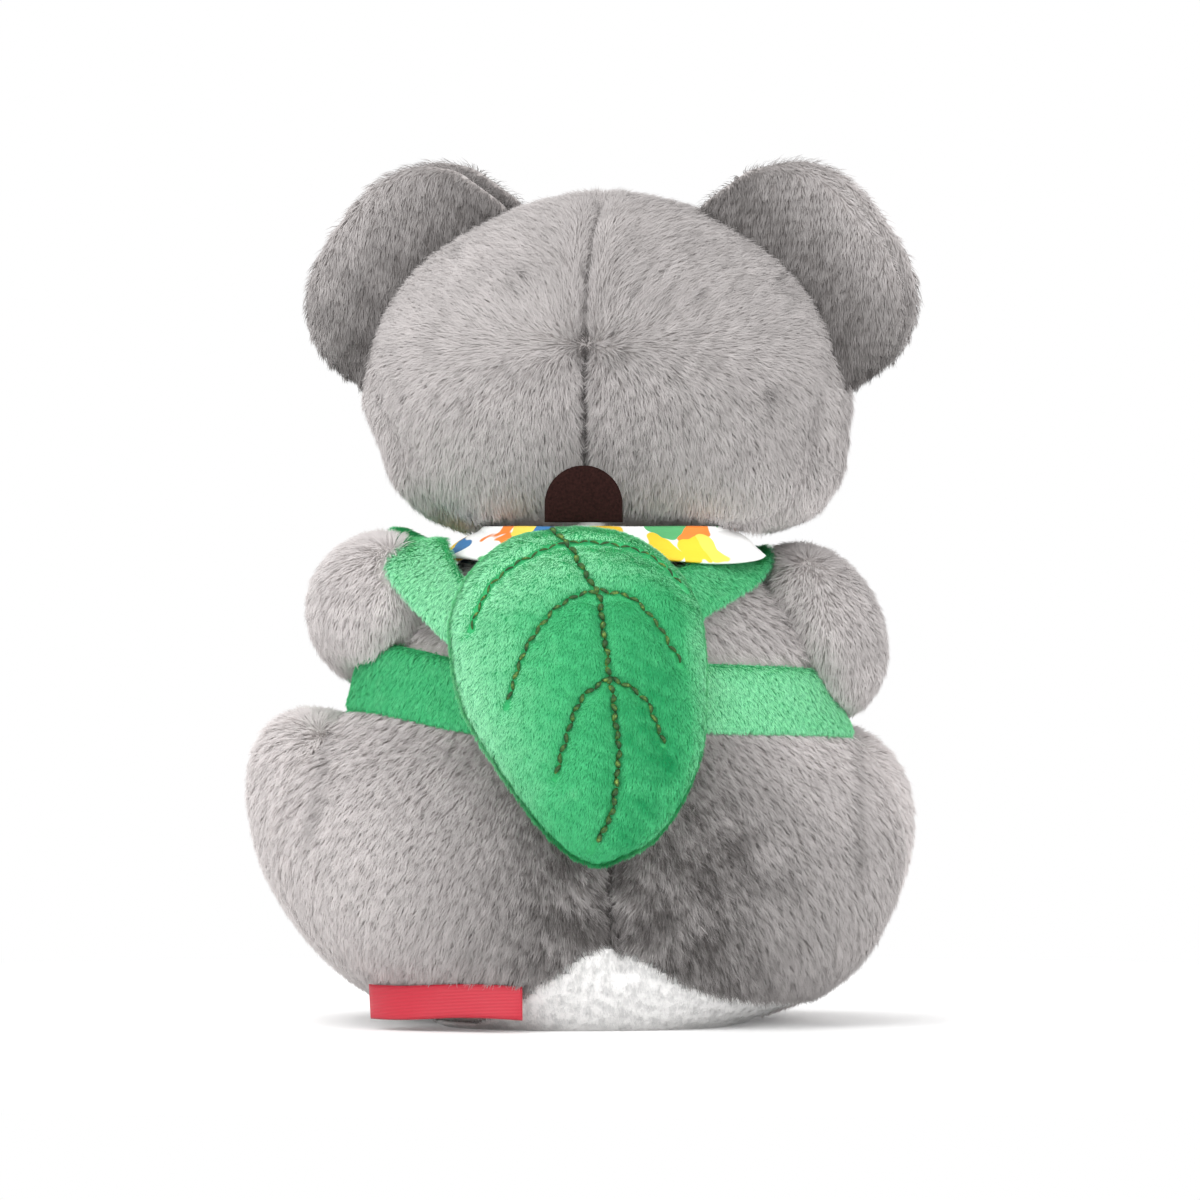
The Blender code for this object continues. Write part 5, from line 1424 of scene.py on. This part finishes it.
def picture_across(points):
    """How far right a point lies as the camera sees it, in metres from the toy's middle."""
    return -points[:, 0] * cos(CAMERA_SWING) + points[:, 1] * sin(CAMERA_SWING)


def steady(value):
    """A rule that gives the same value everywhere."""
    return lambda points, out=None: np.full(len(points), value)


def steady_way(x, y, z):
    """A nap that lies one way everywhere."""
    return lambda points, out: np.tile([x, y, z], (len(points), 1))


HEAD_PAINTED_SHADING = (  # place across the picture, and how light the fur is painted there: painted light and shade
    (-0.070, 0.66), (-0.045, 0.64), (-0.02, 0.57), (0.0, 0.48), (0.02, 0.46), (0.05, 0.50), (0.075, 0.60),
)
# Painted light and shade on the rump, by place across the picture: lighter at the sides, darkest in the
# middle.
RUMP_PAINTED_SHADING = (
    (-0.090, 0.80), (-0.060, 0.76), (-0.040, 0.60), (-0.020, 0.38), (-0.004, 0.16), (0.012, 0.14),
    (0.035, 0.19), (0.050, 0.40), (0.066, 0.55), (0.085, 0.66),
)
# where the nap of the head fans out from, how wide the fan is, and how far it turns below
FAN_LEVEL, FAN_WIDTH, FAN_TURN = 0.1695, 0.40, 1.18


def head_nap(points, out):
    """Fanned up and down from the tuck in the back seam, down in front, over and out on the crown."""
    local = in_frame(points, head_frame)
    behind = np.clip((local[:, 1] + 0.012) / 0.02, 0, 1)
    turn = np.arctan2(FAN_WIDTH * np.abs(local[:, 0]), local[:, 2] - FAN_LEVEL)
    turn = np.where(turn < pi / 2, turn, pi / 2 + (turn - pi / 2) * FAN_TURN)
    inward = np.sign(local[:, 0]) * np.sin(turn) * behind
    down = np.stack([inward, -0.4 * (1 - behind), np.cos(turn) * behind - (1 - behind)], 1)
    over = np.stack([0.9 * np.tanh(local[:, 0] / 0.008), -0.7 + 0 * inward, 0 * inward], 1)
    crown = np.clip((out[:, 2:3] - 0.25) / 0.35, 0, 1)
    crown = crown**2 * (3 - 2 * crown)
    return (down * (1 - crown) + over * crown) @ np.array(head_frame.to_3x3()).T


BACK_SEAM_ACROSS, BACK_SEAM_TOP = 0.0055, 0.045
# Width of a fold by the thigh, how much painted shade darkens the fur along it, and the legs' plain tone.
CREASE_WIDTH, CREASE_SHADE, LEG_TONE = 0.0018, 0.16, 0.82
PARTED_PLACES, PARTED_SIZE, PARTED_TILT = 34, (0.0008, 0.0019), 0.5
PARTED_ACROSS, PARTED_LEVELS, PARTED_DEPTHS = 0.048, (0.146, 0.196), (0.3, 1.0)


def parted(local):
    """1 at a few small places behind the head where the fur parts, 0 elsewhere; there it is painted darker,
    as painted shade.
    """
    chance = np.random.default_rng(5)
    ranges = ((-PARTED_ACROSS, PARTED_ACROSS), PARTED_LEVELS, PARTED_DEPTHS)
    deepest = np.zeros(len(local))
    for x, z, much in zip(*(chance.uniform(low, high, PARTED_PLACES) for low, high in ranges)):
        dx, dz = local[:, 0] - x, local[:, 2] - z
        aslant = dx - (PARTED_TILT if x > 0 else -PARTED_TILT) * dz
        deepest = np.maximum(deepest, much * dent(aslant, PARTED_SIZE[0]) * dent(dz, PARTED_SIZE[1]))
    return deepest


# Painted light and shade on the back of the head: lighter and darker by place across the picture, painted
# light on the crown and low down, most on the right, and painted shade along the seam, in its tuck and in
# the partings.
def head_painted_tone(points):
    across, level = picture_across(points), points[:, 2]
    low = np.clip((0.142 - level) / 0.02, 0, 1)
    left, right = np.clip(-across / 0.05, 0, 1), np.clip(across / 0.05, 0, 1)
    local = in_frame(points, head_frame)
    behind = local[:, 1] > 0
    from_star = np.hypot(local[:, 0], local[:, 2] - STAR_LEVEL)
    below = within(local[:, 2], 0.10, STAR_LEVEL, 0.004)
    # Painted shade along the back seam and in the tuck where it ends.
    line = dent(local[:, 0], 0.0009 + 0.0004 * below)
    seam = (0.42 * below + 0.16 * (1 - below)) * line + 0.30 * dent(from_star, 0.0030)
    # Painted light on the top of the head.
    crown = 0.06 * np.clip((level - 0.182) / 0.018, 0, 1)
    # Painted shade in small partings of the fur.
    parting_shade = 0.26 * parted(local) * behind
    tone = through(HEAD_PAINTED_SHADING, across)[:, 0] + crown
    # Painted light low on the head, most on the right; painted shade along the seam and in the partings.
    return tone + low * (0.04 + 0.10 * left + 0.32 * right) - seam * behind - parting_shade


def head_short(points):
    """Shorter fur along the back seam, so that the seam shows."""
    local = in_frame(points, head_frame)
    return 1 - 0.55 * dent(local[:, 0], 0.0020) * (local[:, 1] > 0)


def outward_nap(points, out):
    """On an ear: away from the head and down."""
    away_from_head = points - np.array([NECK.x, 0, 0.17])
    return away_from_head * (0.6, 0.2, 0.3) + (0, 0, -0.045)


# Tone of each ear where it meets the head: dark, as painted shade in the crease.
EAR_SHADED_ROOT_TONE = {"left": 0.08, "right": 0.05}


def ear_nap(points, out):
    """Down the ear, and out over its upper rim."""
    rim = np.clip(out[:, 2:3] / 0.35, 0, 1)
    return 0.5 * outward_nap(points, out) + (1 - rim) * np.array([0, 0, -0.9])


def ear_painted_tone(side):
    """Painted shade deep in the crease against the head, and painted light towards the rim and on the upper
    part.
    """
    stand = ear_frame(side)

    def tone(points):
        local = in_frame(points, stand)
        reach = np.clip(local[:, 2] / EAR_REACH, 0, 1)
        upper = np.clip(points[:, 2] - 0.18, 0, 0.03) / 0.03
        return EAR_SHADED_ROOT_TONE[side] + 0.58 * reach**2 + 0.06 * upper

    return tone


def torso_nap(points, out):
    """Down and outward from the spine, drawn in towards the back seam close to it."""
    x = points[:, 0] - torso_middle_x(points[:, 2])
    behind = (points[:, 1] > 0).astype(float)
    aside = np.tanh(x / 0.03) * 0.5 - np.tanh(x / 0.004) * np.exp(-((x / 0.008) ** 2)) * 1.2 * behind
    return np.stack([aside, 0 * x, -1 + 0 * x], 1)


# Painted light and shade on the back: the rump's painted shading, painted light higher up on its right, and
# painted shade along the back seam and in the folds by the thighs. Elsewhere the tone is plain.
def torso_painted_tone(points):
    across, level = picture_across(points), points[:, 2]
    rump = through(RUMP_PAINTED_SHADING, across)[:, 0]
    rump = rump + 0.30 * np.clip((level - 0.045) / 0.030, 0, 1) * np.clip(across / 0.04, 0, 1)
    upper = within(level, 0.0, 0.080, 0.020)
    behind = np.clip(points[:, 1] / 0.02 + 1, 0, 1)
    share = upper * behind
    return rump * share + 0.62 * (1 - share) - 0.3 * back_seam(points) - CREASE_SHADE * crease(points)


CREASES = (  # place across the picture, level of the top, slope and level of the foot
    (-0.0608, 0.0725, 0.23, 0.051),
    (0.0668, 0.0720, 0.0, 0.041),
)


def crease(points):
    """1 along the fold between rump and thigh on each side, as the camera sees it, and 0 elsewhere: where
    shade is painted.
    """
    across, level = picture_across(points), points[:, 2]
    deepest = np.zeros(len(points))
    for at, top, slope, foot in CREASES:
        line = at + (level - top) * slope
        deepest = np.maximum(deepest, dent(across - line, CREASE_WIDTH) * within(level, foot, top, 0.006))
    return deepest * (points[:, 1] > -0.035)


def back_seam(points):
    """1 along the seam up the middle of the rump, 0 elsewhere."""
    low = within(points[:, 2], 0.010, BACK_SEAM_TOP, 0.004) * (points[:, 1] > 0)
    return dent(picture_across(points) - BACK_SEAM_ACROSS, 0.0009) * low


# Plain tone, with painted shade along the fold by the rump.
def leg_shaded_tone(points):
    return LEG_TONE - CREASE_SHADE * crease(points)


def torso_short(points):
    """Shorter fur along the back seam."""
    return 1 - 0.6 * back_seam(points)


def torso_lay(points, out):
    return 0.46 + 0.42 * torso_painted_tone(points)


def bare_torso(points):
    """Where the grey fur grows: not on the white panel and not behind the label."""
    x, y, z = points.T
    along_label = (x > LABEL_INNER) & (x < LABEL_INNER + LABEL_LENGTH)
    covered = (y > 0) & along_label & (z < LABEL_LEVEL + LABEL_HEIGHT)
    return ~is_white(points) & ~covered


# %% Grow the grey fur
DENSE = 1.0e6  # strands per square metre for one in each square millimetre
furs = {}


def add_fur(name, body, slot, *args, **words):
    furs[name] = grow(name, *args, **words)
    for piece in furs[name]:
        finish_piece(piece, body, slot)


HIDDEN_FUR = 0.009  # how deep fur still grows inside another piece, for when the two move apart
GREY_WIDTH, PALE_WIDTH = 0.00021, 0.00026  # of one strand
# Painted light: the left arm, on the key lamp's side, is painted lighter than the right.
ARM_PAINTED_TONES = {"left": 0.74, "right": 0.62}
limbs = list(arm_skins.values()) + list(leg_skins.values())
straps = list(strap_pieces.values())
ears = list(ear_skins.values())
flat, drooping, downward = steady(0.80), steady_way(0, -0.5, -1), steady_way(0, 0, -1)
add_fur("head_fur", "head", "grey_plush", head_skin, grey_pile, 6.8 * DENSE, 0.0042, GREY_WIDTH, head_nap,
        flat, head_painted_tone, 21, clear=ears + [muzzle, neck_wad], shorten=head_short)
add_fur("torso_fur", "body", "grey_plush", torso_skin, grey_pile, 6.4 * DENSE, 0.0040, GREY_WIDTH,
        torso_nap, torso_lay, torso_painted_tone, 31, clear=limbs + [neck_wad], under=straps + [backing],
        keep=bare_torso, margin=-HIDDEN_FUR, shorten=torso_short)
for side, seed in (("left", 41), ("right", 61)):
    for layer in ("back", "front"):
        add_fur(f"ear_{side}_{layer}_fur", f"ear_{side}", "grey_plush", ear_skins[side, layer], grey_pile,
                6.6 * DENSE, 0.0034, GREY_WIDTH, ear_nap, steady(0.82), ear_painted_tone(side), seed + len(furs),
                clear=[head_skin, linings[side]], stray=0.16, patchy=0.9)
    pad, belt = sole_pads[side], strap_pieces[side]
    for limb, piece, tone, later, clear, under in (
        ("arm", arm_skins[side], steady(ARM_PAINTED_TONES[side]), 7, [torso_skin], [belt]),
        ("leg", leg_skins[side], leg_shaded_tone, 8, [torso_skin, pad], [pad]),
    ):
        add_fur(f"{limb}_{side}_fur", f"{limb}_{side}", "grey_plush", piece, grey_pile, 6.2 * DENSE,
                0.0039, GREY_WIDTH, drooping, flat, tone, seed + later, clear=clear, under=under,
                margin=-HIDDEN_FUR)

# %% Grow the white and black piles
add_fur("belly_fur", "body", "white_plush", torso_skin, white_pile, 5.2 * DENSE, 0.0031, 0.00024,
        downward, steady(0.82), steady(0.7), 81, clear=limbs + straps, under=[label], keep=is_white)
add_fur("muzzle_fur", "head", "white_plush", muzzle, white_pile, 7 * DENSE, 0.0028, PALE_WIDTH,
        steady_way(0, -0.2, -1), steady(0.62), steady(0.7), 91, clear=[head_skin, nose], margin=0)
add_fur("nose_pile", "head", "black_plush", nose, black_pile, 10 * DENSE, 0.0014, 0.00022,
        downward, steady(0.5), steady(0.4), 101, clear=[head_skin, muzzle], margin=0)
for side, seed in (("left", 111), ("right", 121)):
    add_fur(f"sole_{side}_pile", f"leg_{side}", "white_plush", sole_pads[side], white_pile, 7 * DENSE,
            0.0016, PALE_WIDTH, downward, steady(0.5), steady(0.6), seed, clear=[leg_skins[side]], margin=0)
    add_fur(f"ear_{side}_lining_pile", f"ear_{side}", "white_plush", linings[side], white_pile, 7 * DENSE,
            0.0022, PALE_WIDTH, outward_nap, steady(0.6), steady(0.6), seed + 3,
            clear=[ear_skins[side, "front"]], margin=0)


# %% Grow the leaf's pile
def leaf_painted_tone(points):
    """Painted light and shade: lightest along the left edge and the top, with painted sheen along the rim,
    deepest low on the right.
    """
    local = in_frame(points, leaf_place)
    across, up = local[:, 0] / (LEAF_WIDTH / 2), local[:, 1] / LEAF_HEIGHT
    rim = np.maximum(leaf_half_width(np.clip(up, 0.01, 0.99)) / (LEAF_WIDTH / 2), 0.05)
    near_edge = np.clip(np.abs(across) / rim - 0.72, 0, 0.3)
    light = 0.42 - 0.20 * across + 0.36 * near_edge / 0.3 + 0.85 * np.clip((up - 0.72) / 0.28, 0, 1)
    light = light + 0.22 * dent(across + 0.75, 0.35)
    light = light + 0.34 * dent(across - 0.95, 0.30) * dent(up - 0.55, 0.3)
    return light - 0.18 * dent(across - 0.50, 0.40) * dent(up - 0.30, 0.28)


def leaf_short(points):
    """Pile that a seam presses down along the veins."""
    local = in_frame(points, leaf_place)
    return 1 - 0.65 * dent(nearest_vein(local[:, :2]), 0.0020)


def pile_side(points):
    """The front and the rim of the leaf, off its sewn veins."""
    local = in_frame(points, leaf_place)
    return (nearest_vein(local[:, :2] - (0, 0.0004)) > 0.0008) & (local[:, 2] > -0.0003)


add_fur("leaf_pile", "leaf", "green_plush", leaf_skin, green_pile, 16 * DENSE, 0.0015, 0.00016,
        steady_way(0.25, 0, -1), steady(0.70), leaf_painted_tone, 131, keep=pile_side, clump=0.00012,
        tuft=0.0030, stray=0.3, margin=0.0001, speckle=0.008, shorten=leaf_short)
# Painted light and shade on the straps: each has its own tone, and the run over the shoulder, behind, is
# painted lighter on the left strap and darker on the right.
STRAP_TOP_LEVEL, STRAP_FADE = 0.094, 0.008
for side, seed, light, top_painted_shading in (("left", 141, 0.50, 0.75), ("right", 151, 0.86, -0.26)):

    def strap_painted_tone(points, light=light, top_painted_shading=top_painted_shading):
        over = np.clip((points[:, 2] - STRAP_TOP_LEVEL) / STRAP_FADE, 0, 1) * (points[:, 1] > 0)
        return light + top_painted_shading * over

    for piece in grow(f"strap_{side}_pile", strap_pieces[side], green_pile, 17 * DENSE, 0.0017, 0.00014,
                      steady_way(0.15 * SIDES[side], 0, -1), steady(0.80), strap_painted_tone, seed,
                      clump=0.00010, tuft=0.0018, stray=0.14, speckle=0.009):
        bend_to_leaf(piece)

# %% [markdown]
# ## Camera and light
#
# The camera stands behind the toy, a little to one side, far away with a long lens. Three soft
# lamps and a white sky light it. The floor is plain white to the camera a hand's width from the
# toy, and closer by it keeps the soft shadow that shows where the toy sits.

# %% Camera and lamps
PICTURE_WIDTH = 0.300  # metres across the picture at the koala
CAMERA_RISE, CAMERA_DISTANCE = radians(0.5), 2.60
SENSOR = 36.0
PICTURE_SHIFT, PICTURE_LEVEL = 0.00425, 0.10625
right_hand = Vector((-cos(CAMERA_SWING), sin(CAMERA_SWING), 0.0))
target = right_hand * PICTURE_SHIFT + Vector((0, 0, PICTURE_LEVEL))
level_way = Vector((sin(CAMERA_SWING), cos(CAMERA_SWING), 0.0))
away = level_way * cos(CAMERA_RISE) + Vector((0, 0, sin(CAMERA_RISE)))
camera_data = bpy.data.cameras.new("camera")
camera_data.sensor_width = SENSOR
camera_data.lens = SENSOR * CAMERA_DISTANCE / PICTURE_WIDTH
camera = in_scene("camera", camera_data)
camera.location = target + away * CAMERA_DISTANCE
camera.rotation_euler = (-away).to_track_quat("-Z", "Y").to_euler()
bpy.context.scene.camera = camera


def area_lamp(name, place, size, power):
    data = bpy.data.lights.new(name, "AREA")
    data.shape, data.size, data.energy = "DISK", size, power
    made = in_scene(name, data)
    made.location = place
    made.rotation_euler = (Vector((0, 0, 0.1)) - Vector(place)).to_track_quat("-Z", "Y").to_euler()


area_lamp("key", (0.70, 0.80, 0.85), 1.3, 12.0)
area_lamp("fill", (-0.8, 0.8, 0.5), 1.2, 7.0)
area_lamp("front", (0.4, -0.9, 0.8), 0.9, 6.0)

# %% World and floor
def seen_rays(tree):
    """1 for rays from the camera, a mirror or glass."""
    path = node(tree, "LightPath").outputs
    either = node(tree, "Math", {0: path["Is Camera Ray"], 1: path["Is Glossy Ray"]}, operation="MAXIMUM")
    every = node(tree, "Math", {0: either.outputs[0], 1: path["Is Transmission Ray"]}, operation="MAXIMUM")
    return every.outputs[0]


WHITE = (1, 1, 1, 1)
world = bpy.data.worlds.new("studio")
bpy.context.scene.world = world
world.use_nodes = True
sky = world.node_tree
lit = sky.nodes["Background"]
lit.inputs["Color"].default_value, lit.inputs["Strength"].default_value = WHITE, 0.80
seen = node(sky, "Background", {"Color": WHITE, "Strength": 1.0})
shown_sky = mixed(sky, seen_rays(sky), lit.outputs["Background"], seen.outputs["Background"])
fill_socket(sky, sky.nodes["World Output"].inputs["Surface"], shown_sky)

floor_material, floor_tree, floor_shader = new_material("pale_floor", 0.8)
floor_shader.inputs["Base Color"].default_value = (0.92, 0.92, 0.92, 1)
floor_shader.inputs["Specular IOR Level"].default_value = 0.1
plain = floor_shader.outputs["BSDF"]
glow = node(floor_tree, "Emission", {"Strength": 0.10}).outputs["Emission"]
lit_floor = node(floor_tree, "AddShader", {0: plain, 1: glow}).outputs["Shader"]
white_floor = node(floor_tree, "Emission", {"Strength": 1.0}).outputs["Emission"]
spot = node(floor_tree, "NewGeometry").outputs["Position"]
far = node(floor_tree, "VectorMath", {0: spot}, operation="LENGTH").outputs["Value"]
reach = {"From Min": 0.16, "From Max": 0.40, "Value": far}  # metres from the middle of the floor
fade = node(floor_tree, "MapRange", reach, interpolation_type="SMOOTHSTEP").outputs["Result"]
shown = mixed(floor_tree, fade, lit_floor, white_floor)
seen_floor = mixed(floor_tree, seen_rays(floor_tree), plain, shown)
fill_socket(floor_tree, floor_tree.nodes["Material Output"].inputs["Surface"], seen_floor)
FLOOR_REACH = 3.0
floor_corners = [(x * FLOOR_REACH, y * FLOOR_REACH, 0) for x, y in ((-1, -1), (1, -1), (1, 1), (-1, 1))]
floor = make_object("floor", floor_corners, [(0, 1, 2, 3)], floor_material)
bpy.context.scene.view_settings.view_transform = "Standard"
